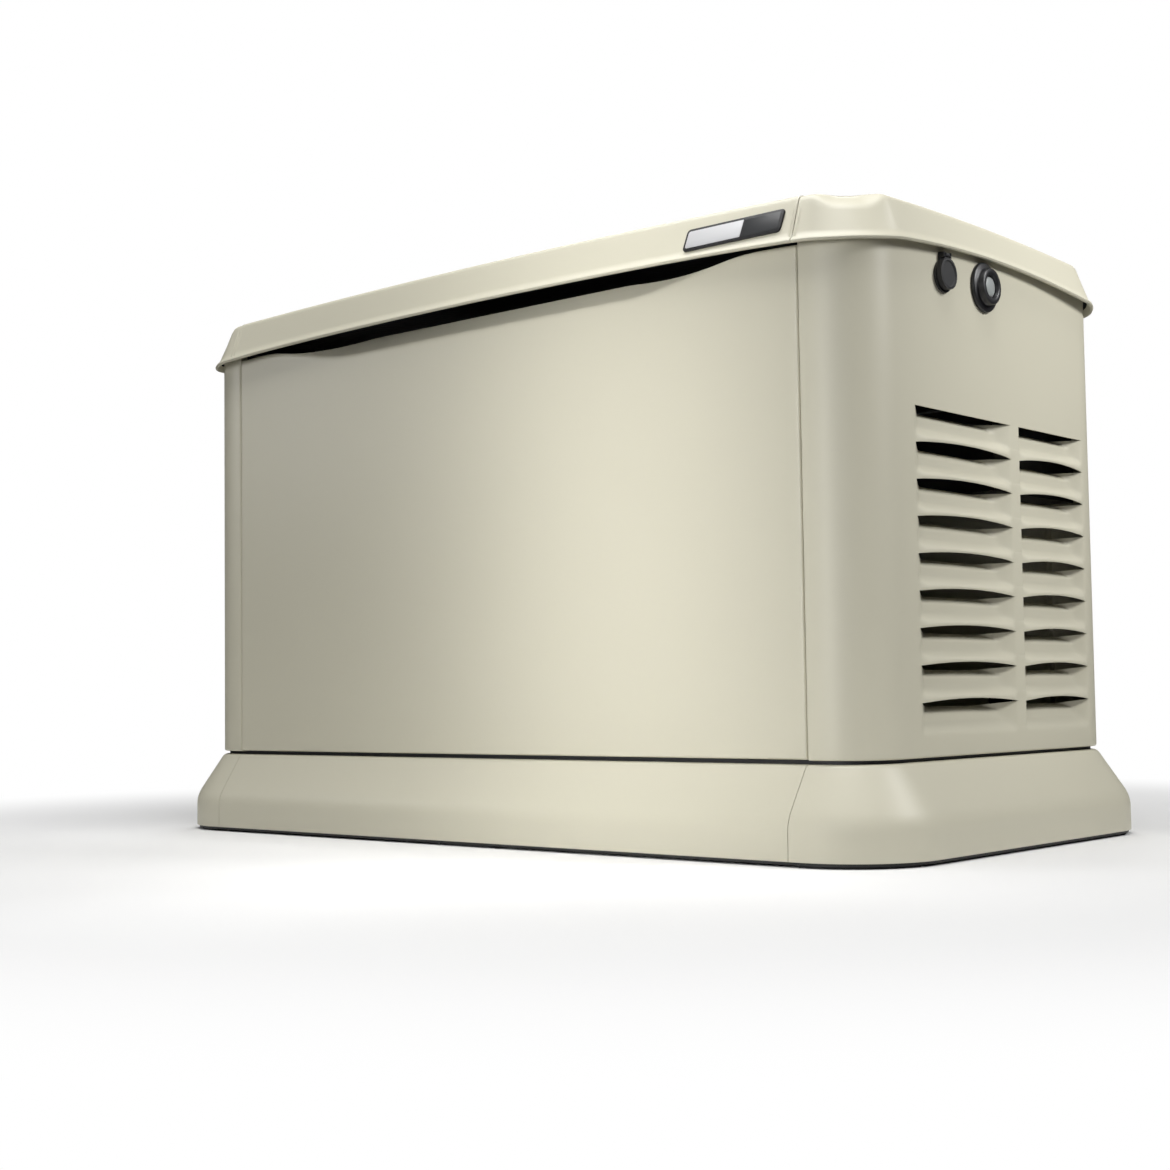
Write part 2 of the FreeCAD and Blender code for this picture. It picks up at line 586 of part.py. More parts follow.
def circuit_breaker():
    """Main line breaker body; its toggle swings in a round-bottomed pocket."""
    body = box(BREAKER_U - 23.5, BREAKER_U + 23.5, -44.5, 44.5, -55, 10)
    pocket = rod(18.0, V(BREAKER_U - 8, TOGGLE_V, 0), V(BREAKER_U + 8, TOGGLE_V, 0))
    pin = rod(3.0, V(BREAKER_U - 9, TOGGLE_V, 0), V(BREAKER_U + 9, TOGGLE_V, 0))
    flange = box(BREAKER_U - 27, BREAKER_U + 27, -50, 50, -3, 0)
    return on_face(fused(fused(body, flange).cut(pocket), pin))


def breaker_toggle():
    """Handle drawn in its ON position, leaning up the face."""
    hub = rod(12.0, V(BREAKER_U - 7.5, TOGGLE_V, 0), V(BREAKER_U + 7.5, TOGGLE_V, 0))
    lever = box(BREAKER_U - 6, BREAKER_U + 6, -4, 4, 0, 30)
    grip = box(BREAKER_U - 11, BREAKER_U + 11, -4, 4, 22, 30)
    handle = fused(hub, lever, grip)
    handle.rotate(V(0, TOGGLE_V, 0), X, -20)
    return on_face(handle.cut(rod(3.0 + RUN, V(0, TOGGLE_V, 0), V(200, TOGGLE_V, 0))))


# ---------------------------------------------------------------- battery
def battery():
    x0, x1, y0, y1, z0, z1 = BATTERY
    case = box(x0, x1, y0, y1, z0, z1 - 22)
    top = box(x0 + 2, x1 - 2, y0 + 2, y1 - 2, z1 - 22, z1)
    posts = [rod(9.0, V(x, y0 + 30, z1), V(x, y0 + 30, z1 + 17)) for x in (x0 + 35, x1 - 35)]
    ledges = [box(x, x + 6, y0 + 20, y1 - 20, z0, z0 + 12) for x in (x0 - 6, x1)]
    return fused(case, top, *posts, *ledges)


def battery_cables():
    """Positive lead to the starter's stud and negative lead to the alternator's foot."""
    x0, x1, y0, z1 = BATTERY[0], BATTERY[1], BATTERY[2], BATTERY[5]
    foot_face = -MOUNT_Y - 30
    negative = [(338, -214, 216), (306, -204, 190), (272, -186, 152), (252, -162, 134)]
    negative.append((250, foot_face - 5, 130))
    lugs = [rod(7.0, V(250, foot_face - 9, 130), V(250, foot_face, 130))]
    lugs.append(rod(7.0, V(-32, STARTER_Y, STARTER_Z), V(-23, STARTER_Y, STARTER_Z)))
    positive = [(446, -214, 232), (360, -230, 262), (150, -250, 240), (50, -205, 230)]
    positive += [(0, -170, 227), (-28, STARTER_Y, STARTER_Z)]
    leads = []
    for x, way, lug in ((x0 + 35, negative, lugs[0]), (x1 - 35, positive, lugs[1])):
        post = V(x, y0 + 30, z1 + 4)
        ring = tube(14.0, 9.05, post, post + 10 * Z)
        lead = fused(ring, lug, hose([(x, y0 + 43, z1 + 9), *way], 5.0))
        leads.append(lead.cut(rod(9.05, post - 5 * Z, post + 20 * Z)))
    return leads


# ---------------------------------------------------------------- engine
def bank_point(side, distance, across=0.0, x=0.0):
    """A point at a distance up a cylinder's axis; side is -1 for the front bank, +1 for the rear."""
    k = math.sqrt(0.5)
    return V(x, side * (distance * k + across * k), CRANK_Z + distance * k - across * k)


def bank_block(side, x, half_x, half_w, start, end):
    """A rectangular block along a cylinder's axis."""
    corners = [
        bank_point(side, start, -half_w, x - half_x),
        bank_point(side, start, half_w, x - half_x),
        bank_point(side, end, half_w, x - half_x),
        bank_point(side, end, -half_w, x - half_x),
    ]
    return prism(corners, V(2 * half_x, 0, 0))


def banks():
    """(side, position along the crankshaft) of the two cylinders."""
    return ((-1, CYL_X[0]), (1, CYL_X[1]))


def crankcase():
    """Case with flanks square to the two cylinders, feet, sump, ribs and pads for what bolts on."""
    half, crest = CASE_HY, 35.0
    flank = CYL_START * math.sqrt(2) + CRANK_Z
    section = [(-half, 130), (half, 130), (half, flank - half), (crest, flank - crest)]
    section += [(-crest, flank - crest), (-half, flank - half)]
    case = prism([V(CASE_X0, y, z) for y, z in section], V(CASE_X1 - CASE_X0, 0, 0))
    foot = box(MOUNT_X[0] - 16, MOUNT_X[0] + 16, -MOUNT_Y - 30, MOUNT_Y + 30, MOUNT_TOP, 131)
    sump = box(CASE_X0 + 50, CASE_X1 - 20, -90, 90, 108, 131)
    dip_foot = box(DIP_X - 11, DIP_X + 11, DIP_Y - 11, -half, 235, 262)
    dip_tube = rod(7.0, V(DIP_X, DIP_Y, 250), V(DIP_X, DIP_Y, 410))
    ribs = [box(x - 3, x + 3, -half - 4, half + 4, 140, 290) for x in (-130, -80)]
    filter_pad = rod(42.0, V(10, CASE_PAD_Y, 168), V(10, -half, 168))
    drain_pad = rod(12.0, V(-60, CASE_PAD_Y, 146), V(-60, -half, 146))
    case = fused(case, foot, sump, dip_foot, dip_tube, filter_pad, drain_pad, *ribs)
    dip_bore = rod(4.0, V(DIP_X, DIP_Y, 238), V(DIP_X, DIP_Y, 420))
    shaft_bore = rod(SHAFT_R + RUN, V(CASE_X0 - 5, 0, CRANK_Z), V(CASE_X1 + 5, 0, CRANK_Z))
    return case.cut([dip_bore, shaft_bore])


def finned_cylinder(side, x):
    barrel = rod(52.0, bank_point(side, CYL_START, 0, x), bank_point(side, CYL_END, 0, x))
    fins = []
    for n in range(9):
        start = CYL_START + 8 + 11 * n
        fins.append(bank_block(side, x, 58, 60, start, start + 3.5))
    bore = rod(45.0, bank_point(side, CYL_START - 1, 0, x), bank_point(side, CYL_END + 1, 0, x))
    return fused(barrel, *fins).cut(bore)


def cylinder_head(side, x):
    """Finned head: spark plug hole in its outer end, inlet in the valley, exhaust on the outside."""
    block = bank_block(side, x, 56, 56, CYL_END, HEAD_END)
    fins = [bank_block(side, x, 59, 61, CYL_END + 8 + 11 * n, CYL_END + 12 + 11 * n) for n in range(4)]
    plug_hole = rod(7.0, bank_point(side, 238, 0, x), bank_point(side, 238, 0, x + side * 62))
    exhaust = rod(15.5, bank_point(side, 240, 62, x), bank_point(side, 240, 40, x))
    return fused(block, *fins).cut([plug_hole, exhaust])


def valve_cover(side, x):
    """Pressed cover with rounded shoulders and four bolts."""
    base = bank_block(side, x, 54, 54, HEAD_END, HEAD_END + 8)
    body = bank_block(side, x, 44, 46, HEAD_END + 8, COVER_END)
    top = bank_point(side, COVER_END, 0, x)
    lean = V(0, side, 1)
    top_edges = [e for e in body.Edges if abs((e.CenterOfMass - top).dot(lean)) < 0.1]
    bolts = [
        rod(5.0, bank_point(side, HEAD_END + 8, w, x + u), bank_point(side, HEAD_END + 13, w, x + u))
        for u in (-49, 49)
        for w in (-44, 44)
    ]
    return fused(base, body.makeFillet(9.0, top_edges), *bolts)


def spark_plug(side, x):
    """Plug and boot, standing out along the crankshaft's direction from the head's outer end."""

    def at(reach):
        return bank_point(side, 238, 0, x + side * reach)

    return fused(rod(7.0, at(34), at(59)), rod(11.0, at(59), at(69)), rod(9.0, at(69), at(98)))


def intake_manifold():
    """Throttle body in the valley of the V with a runner to each head."""
    body = rod(30.0, V(-65, 0, 484), V(-65, 0, 545))
    plenum = box(-118, -12, -30, 30, 470, 500)
    case = fused(body, plenum)
    for side, x in banks():
        elbow = bank_block(side, x, 20, 9, 226, 260)
        elbow.translate(bank_point(side, 0, -70) - bank_point(side, 0, 0))
        case = fused(case, rod(13.0, V(x, side * 12, 486), bank_point(side, 243, -71, x)), elbow)
    return case.cut(rod(22.0, V(-65, 0, 480), V(-65, 0, 546)))


def airbox_base():
    tray = box(-180, 70, -130, 130, 545, 596)
    tray = tray.cut(box(-175, 65, -125, 125, 550, 597))
    snout = box(70, 110, -50, 50, 555, 590)
    snout = snout.cut(box(64, 111, -45, 45, 560, 585))
    return fused(tray, snout).cut(rod(22.0, V(-65, 0, 540), V(-65, 0, 560)))


def air_filter():
    """Pleated element: a frame with upright folds."""
    frame = box(-172, 62, -122, 122, 566, 572)
    folds = [box(-166 + 12 * n, -160 + 12 * n, -116, 116, 572, 594) for n in range(19)]
    return fused(frame, *folds)


def airbox_cover():
    lid = box(-183, 73, -133, 133, 596, 628)
    lid = lid.cut(box(-178, 68, -128, 128, 596, 622))
    ribs = [box(-160, 50, y - 4, y + 4, 628, 633) for y in (-84, -42, 0, 42, 84)]
    clips = [box(x - 12, x + 12, y, y + 5, 585, 622) for x in (-110, 0) for y in (-138, 133)]
    return fused(lid, *ribs, *clips)


def oil_filter():
    can = rod(38.0, V(10, CASE_PAD_Y, 168), V(10, -205, 168))
    rim = rod(40.0, V(10, CASE_PAD_Y, 168), V(10, CASE_PAD_Y - 8, 168))
    far_edges = [e for e in can.Edges if abs(e.CenterOfMass.y + 205) < 1.0]
    return fused(can.makeFillet(9.0, far_edges), rim)


def oil_drain_hose():
    """Hose from the drain boss, parked upright beside the engine."""
    way = [(-60, CASE_PAD_Y - 6, 146), (-60, -150, 146), (-72, -215, 140)]
    way += [(-120, -240, 150), (-165, -246, 230)]
    collar = rod(9.5, V(-60, CASE_PAD_Y, 146), V(-60, -140, 146))
    return fused(hose(way, 7.0), collar)


def starter_motor():
    def at(x):
        return V(x, STARTER_Y, STARTER_Z)

    body = rod(33.0, at(-158), at(-40))
    nose = rod(20.0, at(CASE_X0), at(-158))
    stud = rod(4.0, at(-40), at(-32))
    bracket = box(-156, -146, STARTER_Y, -CASE_HY, STARTER_Z - 30, STARTER_Z + 30)
    return fused(body, nose, stud, bracket)


def dipstick():
    blade = rod(2.6, V(DIP_X, DIP_Y, 240), V(DIP_X, DIP_Y, 412))
    cap = rod(9.0, V(DIP_X, DIP_Y, 410), V(DIP_X, DIP_Y, 424))
    ring = Part.makeTorus(11.0, 3.0, V(DIP_X, DIP_Y, 436), X)
    return fused(blade, cap, ring)


# ---------------------------------------------------------------- rotating parts
def crankshaft():
    shaft = rod(SHAFT_R, V(-286, 0, CRANK_Z), V(330, 0, CRANK_Z))
    nut = rod(16.0, V(-296, 0, CRANK_Z), V(-286, 0, CRANK_Z))
    return fused(shaft, nut)


def flywheel_fan():
    """Flywheel disc with a hub, straight tilted vanes on its outer face and a ring that ties them."""
    hub = tube(45.0, SHAFT_R, V(-284, 0, CRANK_Z), V(-186, 0, CRANK_Z))
    disc = tube(140.0, SHAFT_R, V(-212, 0, CRANK_Z), V(-190, 0, CRANK_Z))
    vanes = []
    for n in range(12):
        vane = box(-272, -212, -2.5, 2.5, CRANK_Z + 70, CRANK_Z + FAN_R)
        vane.rotate(V(0, 0, CRANK_Z + 110), X, 25)
        vane.rotate(V(0, 0, CRANK_Z), X, 30 * n)
        vanes.append(vane)
    ring = tube(FAN_R, FAN_R - 18, V(-216, 0, CRANK_Z), V(-208, 0, CRANK_Z))
    return fused(hub, disc, ring, *vanes)


def blower_housing():
    """Round shroud over the fan, bolted to the crankcase, with a window towards each cylinder."""
    back_x = CASE_X0
    shell = tube(HOUSING_R, HOUSING_R - 3, V(-290, 0, CRANK_Z), V(back_x, 0, CRANK_Z))
    back = tube(HOUSING_R, 60.0, V(back_x - 3, 0, CRANK_Z), V(back_x, 0, CRANK_Z))
    lip = tube(HOUSING_R + 10, HOUSING_R - 3, V(-293, 0, CRANK_Z), V(-290, 0, CRANK_Z))
    windows = []
    for angle in (-45, 45):
        window = box(back_x - 5, back_x + 5, -30, 30, CRANK_Z + 112, CRANK_Z + 150)
        window.rotate(V(0, 0, CRANK_Z), X, angle)
        windows.append(window)
    return fused(shell, back, lip).cut(windows)


def alternator_stator():
    can = tube(CAN_R, CAN_R - 6, V(CASE_X1, 0, CRANK_Z), V(CAN_X1, 0, CRANK_Z))
    core = tube(CAN_R - 6, 82.0, V(110, 0, CRANK_Z), V(250, 0, CRANK_Z))
    ribs = []
    for n in range(16):
        rib = box(80, 280, -3, 3, CRANK_Z + CAN_R - 2, CRANK_Z + CAN_R + 7)
        rib.rotate(V(0, 0, CRANK_Z), X, 22.5 * n + 11.25)
        ribs.append(rib)
    foot = box(MOUNT_X[1] - 16, MOUNT_X[1] + 16, -MOUNT_Y - 30, MOUNT_Y + 30, MOUNT_TOP, 160)
    foot = foot.cut(rod(CAN_R - 1, V(200, 0, CRANK_Z), V(290, 0, CRANK_Z)))
    windings = [tube(112.0, 84.0, V(x, 0, CRANK_Z), V(x + 24, 0, CRANK_Z)) for x in (86, 250)]
    return fused(can, core, foot, *ribs, *windings)


def alternator_carrier():
    """End bracket with the rear bearing seat and open spokes for cooling air."""
    rim = tube(CAN_R, 108.0, V(CAN_X1, 0, CRANK_Z), V(CAN_X1 + 16, 0, CRANK_Z))
    seat = tube(40.0, SHAFT_R + RUN, V(CAN_X1 - 6, 0, CRANK_Z), V(CAN_X1 + 22, 0, CRANK_Z))
    spokes = []
    for n in range(6):
        spoke = box(CAN_X1, CAN_X1 + 12, -8, 8, CRANK_Z + 34, CRANK_Z + 112)
        spoke.rotate(V(0, 0, CRANK_Z), X, 60 * n)
        spokes.append(spoke)
    return fused(rim, seat, *spokes)


def alternator_rotor():
    """Two-pole wound rotor with slip rings."""
    core = rod(80.0, V(112, 0, CRANK_Z), V(248, 0, CRANK_Z))
    slots = [box(100, 260, s * 78 - 12, s * 78 + 12, CRANK_Z - 30, CRANK_Z + 30) for s in (-1, 1)]
    windings = rod(66.0, V(96, 0, CRANK_Z), V(264, 0, CRANK_Z))
    groove = tube(60.0, 32.0, V(281, 0, CRANK_Z), V(283, 0, CRANK_Z))
    rings = rod(34.0, V(274, 0, CRANK_Z), V(290, 0, CRANK_Z)).cut(groove)
    sleeve = rod(30.0, V(264, 0, CRANK_Z), V(274, 0, CRANK_Z))
    rotor = fused(core.cut(slots), windings, rings, sleeve)
    return rotor.cut(rod(SHAFT_R, V(80, 0, CRANK_Z), V(300, 0, CRANK_Z)))


# ---------------------------------------------------------------- exhaust and fuel
def exhaust_header(side, x):
    start = bank_point(side, 240, 62.2, x)
    out = bank_point(side, 240, 80, x)
    way = [tuple(start), tuple(out), (x - 60, side * 262, 395)]
    way += [(-240, side * 228, 440), (DIVIDER_X, side * 225, 440)]
    way += [(-360, side * 222, 436), (MUFFLER_X + 20, side * 190, 410), (MUFFLER_X, side * 150, 376)]
    return hose(way, 14.0)


def muffler():
    """Drum silencer across the compartment, on two legs, with a tailpipe to the end louvres."""
    ends, tail_z = MUFFLER_HY - 18, MUFFLER_Z - 40
    body = rod(MUFFLER_R, V(MUFFLER_X, -ends, MUFFLER_Z), V(MUFFLER_X, ends, MUFFLER_Z))
    for side in (-1, 1):
        face = V(MUFFLER_X, side * ends, MUFFLER_Z)
        body = fused(body, Part.makeCone(MUFFLER_R, MUFFLER_R - 22, 18, face, side * Y))
    for y in (-ends, 0, ends):
        seam = V(MUFFLER_X, y, MUFFLER_Z)
        body = fused(body, rod(MUFFLER_R + 3, seam - 3 * Y, seam + 3 * Y))
    for y in (-140, 140):
        body = fused(body, box(MUFFLER_X - 20, MUFFLER_X + 20, y - 3, y + 3, FLOOR_TOP, tail_z))
    tail = rod(22.0, V(MUFFLER_X, 90, tail_z), V(MUFFLER_X - 105, 90, tail_z))
    bore = rod(19.0, V(MUFFLER_X - 80, 90, tail_z), V(MUFFLER_X - 106, 90, tail_z))
    return fused(body, tail).cut([bore, *[exhaust_header(*bank) for bank in banks()]])


def fuel_regulator():
    body = rod(46.0, V(FUEL_X, 250, 372), V(FUEL_X, 250, 398))
    dome = Part.makeCone(40.0, 22.0, 26, V(FUEL_X, 250, 398), Z)
    low = rod(30.0, V(FUEL_X, 250, 340), V(FUEL_X, 250, 372))
    outlet = rod(13.0, V(FUEL_X, 250, 356), V(FUEL_X - 60, 250, 356))
    solenoid = box(FUEL_X + 26, FUEL_X + 66, 232, 268, 338, 370)
    return fused(body, dome, low, outlet, solenoid)


def fuel_inlet():
    """Threaded pipe stub through the rear panel with a riser to the regulator."""
    stub = rod(17.0, V(FUEL_X, 236, FUEL_Z), V(FUEL_X, 334, FUEL_Z))
    nut = rod(22.0, V(FUEL_X, 318, FUEL_Z), V(FUEL_X, 334, FUEL_Z))
    collars = [rod(25.0, V(FUEL_X, y, FUEL_Z), V(FUEL_X, y + 4, FUEL_Z)) for y in (302, 308)]
    riser = rod(13.0, V(FUEL_X, 250, FUEL_Z), V(FUEL_X, 250, 340))
    bore = rod(FUEL_BORE_R, V(FUEL_X, 334 - FUEL_DEPTH, FUEL_Z), V(FUEL_X, 335, FUEL_Z))
    return fused(stub, nut, riser, *collars).cut(bore)


# ---------------------------------------------------------------- fasteners
def screw(place, out):
    """A washer-head screw: the shank goes in through the sheet, the head stays proud."""
    head = rod(6.0, place, place + out * 3.0)
    shank = rod(2.5, place - out * 5.0, place)
    return fused(head, shank)


def write_parts():
    write("base_tray", base_tray())
    write("rubber_feet", *rubber_feet())
    write_wrap()

    ring = sheet_ring()
    write("side_panel_right", side_panel(ring, 1))
    write("side_panel_left", side_panel(ring, -1))
    write("front_panel", front_panel())
    write("rear_panel", rear_panel(ring))
    write("divider_panel", divider_panel())
    write("panel_screws", *[screw(place, Y) for place in rear_screws()])

    shell = lid_shell()
    write("lid_panel", shell.common(box(-LID_SEAM_X, LID_SEAM_X, -400, 400, 600, 900)))
    write("lid_end_right", lid_end(shell, 1))
    write("lid_end_left", lid_end(shell, -1))
    write("lid_liner", lid_liner())
    write("lid_badge", lid_badge())
    hinges = (-HINGE_X, HINGE_X)
    write("hinge_body_leaves", *[hinge_body_leaf(x) for x in hinges])
    write("hinge_lid_leaves", *[hinge_lid_leaf(x) for x in hinges])
    write("hinge_pins", *[hinge_pin(x) for x in hinges])

    write("lock_bodies", lock_body(), mirrored(lock_body()))
    write("lock_cam_right", lock_cam())
    write("lock_cam_left", mirrored(lock_cam()))
    write("lock_cap_right", lock_cap())
    write("lock_cap_left", mirrored(lock_cap()))
    write("status_light_bezel", status_light_bezel())
    write("status_light_lens", status_light_lens())

    write("control_box", control_box())
    write("control_face", control_face())
    write("display_window", display_window())
    for name, u in BUTTONS.items():
        write(name, button(u))
    write("circuit_breaker", circuit_breaker())
    write("breaker_toggle", breaker_toggle())
    write("battery", battery())
    write("battery_cables", *battery_cables())

    feet = [V(x, y, RAIL_TOP) for x in MOUNT_X for y in (-MOUNT_Y, MOUNT_Y)]
    write("vibration_mounts", *[rod(MOUNT_R, p, p + (MOUNT_TOP - RAIL_TOP) * Z) for p in feet])
    write("crankcase", crankcase())
    write("cylinders", *[finned_cylinder(*bank) for bank in banks()])
    write("cylinder_heads", *[cylinder_head(*bank) for bank in banks()])
    write("valve_covers", *[valve_cover(*bank) for bank in banks()])
    write("spark_plugs", *[spark_plug(*bank) for bank in banks()])
    write("intake_manifold", intake_manifold())
    write("airbox_base", airbox_base())
    write("air_filter", air_filter())
    write("airbox_cover", airbox_cover())
    write("oil_filter", oil_filter())
    write("oil_drain_hose", oil_drain_hose())
    write("starter_motor", starter_motor())
    write("dipstick", dipstick())
    write("blower_housing", blower_housing())
    write("crankshaft", crankshaft())
    write("flywheel_fan", flywheel_fan())
    write("alternator_stator", alternator_stator())
    write("alternator_carrier", alternator_carrier())
    write("alternator_rotor", alternator_rotor())
    write("exhaust_headers", *[exhaust_header(*bank) for bank in banks()])
    write("muffler", muffler())
    write("fuel_regulator", fuel_regulator())
    write("fuel_inlet", fuel_inlet())


os.makedirs("parts", exist_ok=True)
write_parts()
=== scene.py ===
import bpy
import json
import math
import numpy as np
from mathutils import Matrix, Vector


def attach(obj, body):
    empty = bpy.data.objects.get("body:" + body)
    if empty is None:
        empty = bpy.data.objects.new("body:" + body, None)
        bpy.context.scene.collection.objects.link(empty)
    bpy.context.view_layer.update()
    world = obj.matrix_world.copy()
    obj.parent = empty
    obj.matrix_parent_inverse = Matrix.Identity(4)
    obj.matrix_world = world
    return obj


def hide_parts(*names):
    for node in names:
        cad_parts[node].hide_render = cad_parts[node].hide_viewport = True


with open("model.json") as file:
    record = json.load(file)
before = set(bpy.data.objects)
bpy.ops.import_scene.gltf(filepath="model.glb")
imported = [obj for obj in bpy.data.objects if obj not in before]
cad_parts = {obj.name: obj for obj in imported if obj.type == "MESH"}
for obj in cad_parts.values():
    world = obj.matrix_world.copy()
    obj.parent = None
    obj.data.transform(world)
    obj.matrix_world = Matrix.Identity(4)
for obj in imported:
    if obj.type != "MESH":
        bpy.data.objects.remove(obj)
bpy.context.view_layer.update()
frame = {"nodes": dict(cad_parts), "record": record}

# ------------------------------------------------------------------ shared dimensions, millimetres
MM = 0.001
BODY_HX, BODY_HY, BODY_R = 598.0, 308.0, 70.0     # outline of the panels, seen from above
CORNER_X, CORNER_Y = BODY_HX - BODY_R, BODY_HY - BODY_R
SEAM_X, SEAM_GAP = 512.0, 0.8
BASE_TOP, TUCK = 117.0, 9.0
PANEL_THICK, WRAP_THICK, LID_THICK = 1.6, 3.0, 2.2
RIM_HX, RIM_HY = 609.0, 319.0
MEAN_RIM, LEAN, RIM_OUT = 723.0, 19.0 / 55.0, 11.0
LID_SEAM_X = 515.0
# height in the middle, then how far it falls by the ends, by the front and rear, and at the corners
RIM_MID, RIM_END, RIM_SIDE, RIM_CORNER = 741.3, 13.3, 18.3, 6.0
ROOF_MID, ROOF_END, ROOF_SIDE = 787.9, 11.0, 10.0


def rim(x, y):
    """Height of the lid's lower edge, arched along both directions and lower at the corners."""
    u, v = np.abs(x) / RIM_HX, np.abs(y) / RIM_HY
    return RIM_MID - RIM_END * u**2 - (RIM_SIDE + RIM_CORNER * u**8) * v**2


def crown(x, y):
    """Height of the lid's roof, crowned along both directions."""
    return ROOF_MID - ROOF_END * (np.abs(x) / RIM_HX) ** 2 - ROOF_SIDE * (np.abs(y) / RIM_HY) ** 2


def smoothstep(t):
    """Rises smoothly from 0 to 1 as t does."""
    t = np.clip(t, 0.0, 1.0)
    return t * t * (3 - 2 * t)


def curve(p0, p1, p2, a):
    """The point at a on the curve from p0 to p2 that is drawn towards p1."""
    return tuple((1 - a) ** 2 * p0[i] + 2 * a * (1 - a) * p1[i] + a * a * p2[i] for i in (0, 1))


def mirrored(pts):
    """The same grid of points on the other side of the YZ plane, still facing outwards."""
    return (pts * np.array([-1, 1, 1]))[:, ::-1]


# ------------------------------------------------------------------ materials
def material(name, color, rough, metal=0.0, mottle=0.04, grain=(900.0, 0.02), stretch=(1, 1, 1),
             rough_var=0.08, coat=0.0, transmission=0.0, edge=0.0, pattern="noise"):
    """A procedural finish: colour mottling, uneven gloss and a fine surface grain."""
    m = bpy.data.materials.new(name)
    m.use_nodes = True
    nt = m.node_tree
    p = nt.nodes["Principled BSDF"]
    new, link = nt.nodes.new, nt.links.new
    coord = new("ShaderNodeTexCoord")
    mapping = new("ShaderNodeMapping")
    mapping.inputs["Scale"].default_value = stretch
    link(coord.outputs["Object"], mapping.inputs["Vector"])

    soft = new("ShaderNodeTexNoise")
    soft.inputs["Scale"].default_value = 6.0
    soft.inputs["Detail"].default_value = 4.0
    link(mapping.outputs[0], soft.inputs["Vector"])
    ramp = new("ShaderNodeMix")
    ramp.data_type = "RGBA"
    dark = [c * (1 - mottle) for c in color]
    light = [min(1.0, c * (1 + mottle)) for c in color]
    ramp.inputs["A"].default_value = (*dark, 1)
    ramp.inputs["B"].default_value = (*light, 1)
    link(soft.outputs["Fac"], ramp.inputs["Factor"])
    link(ramp.outputs["Result"], p.inputs["Base Color"])

    gloss = new("ShaderNodeMapRange")
    gloss.inputs["To Min"].default_value = max(0.02, rough - rough_var)
    gloss.inputs["To Max"].default_value = min(1.0, rough + rough_var)
    link(soft.outputs["Fac"], gloss.inputs["Value"])
    link(gloss.outputs["Result"], p.inputs["Roughness"])

    if pattern == "cells":
        fine = new("ShaderNodeTexVoronoi")
        height = fine.outputs["Distance"]
    else:
        fine = new("ShaderNodeTexNoise")
        fine.inputs["Detail"].default_value = 2.0
        height = fine.outputs["Fac"]
    fine.inputs["Scale"].default_value = grain[0]
    link(mapping.outputs[0], fine.inputs["Vector"])
    bump = new("ShaderNodeBump")
    bump.inputs["Strength"].default_value = grain[1]
    bump.inputs["Distance"].default_value = 0.001
    link(height, bump.inputs["Height"])
    if edge:
        bevel = new("ShaderNodeBevel")
        bevel.samples = 4
        bevel.inputs["Radius"].default_value = edge
        link(bevel.outputs["Normal"], bump.inputs["Normal"])
    link(bump.outputs["Normal"], p.inputs["Normal"])
    p.inputs["Metallic"].default_value = metal
    p.inputs["Coat Weight"].default_value = coat
    p.inputs["Coat Roughness"].default_value = 0.2
    p.inputs["Transmission Weight"].default_value = transmission
    return m


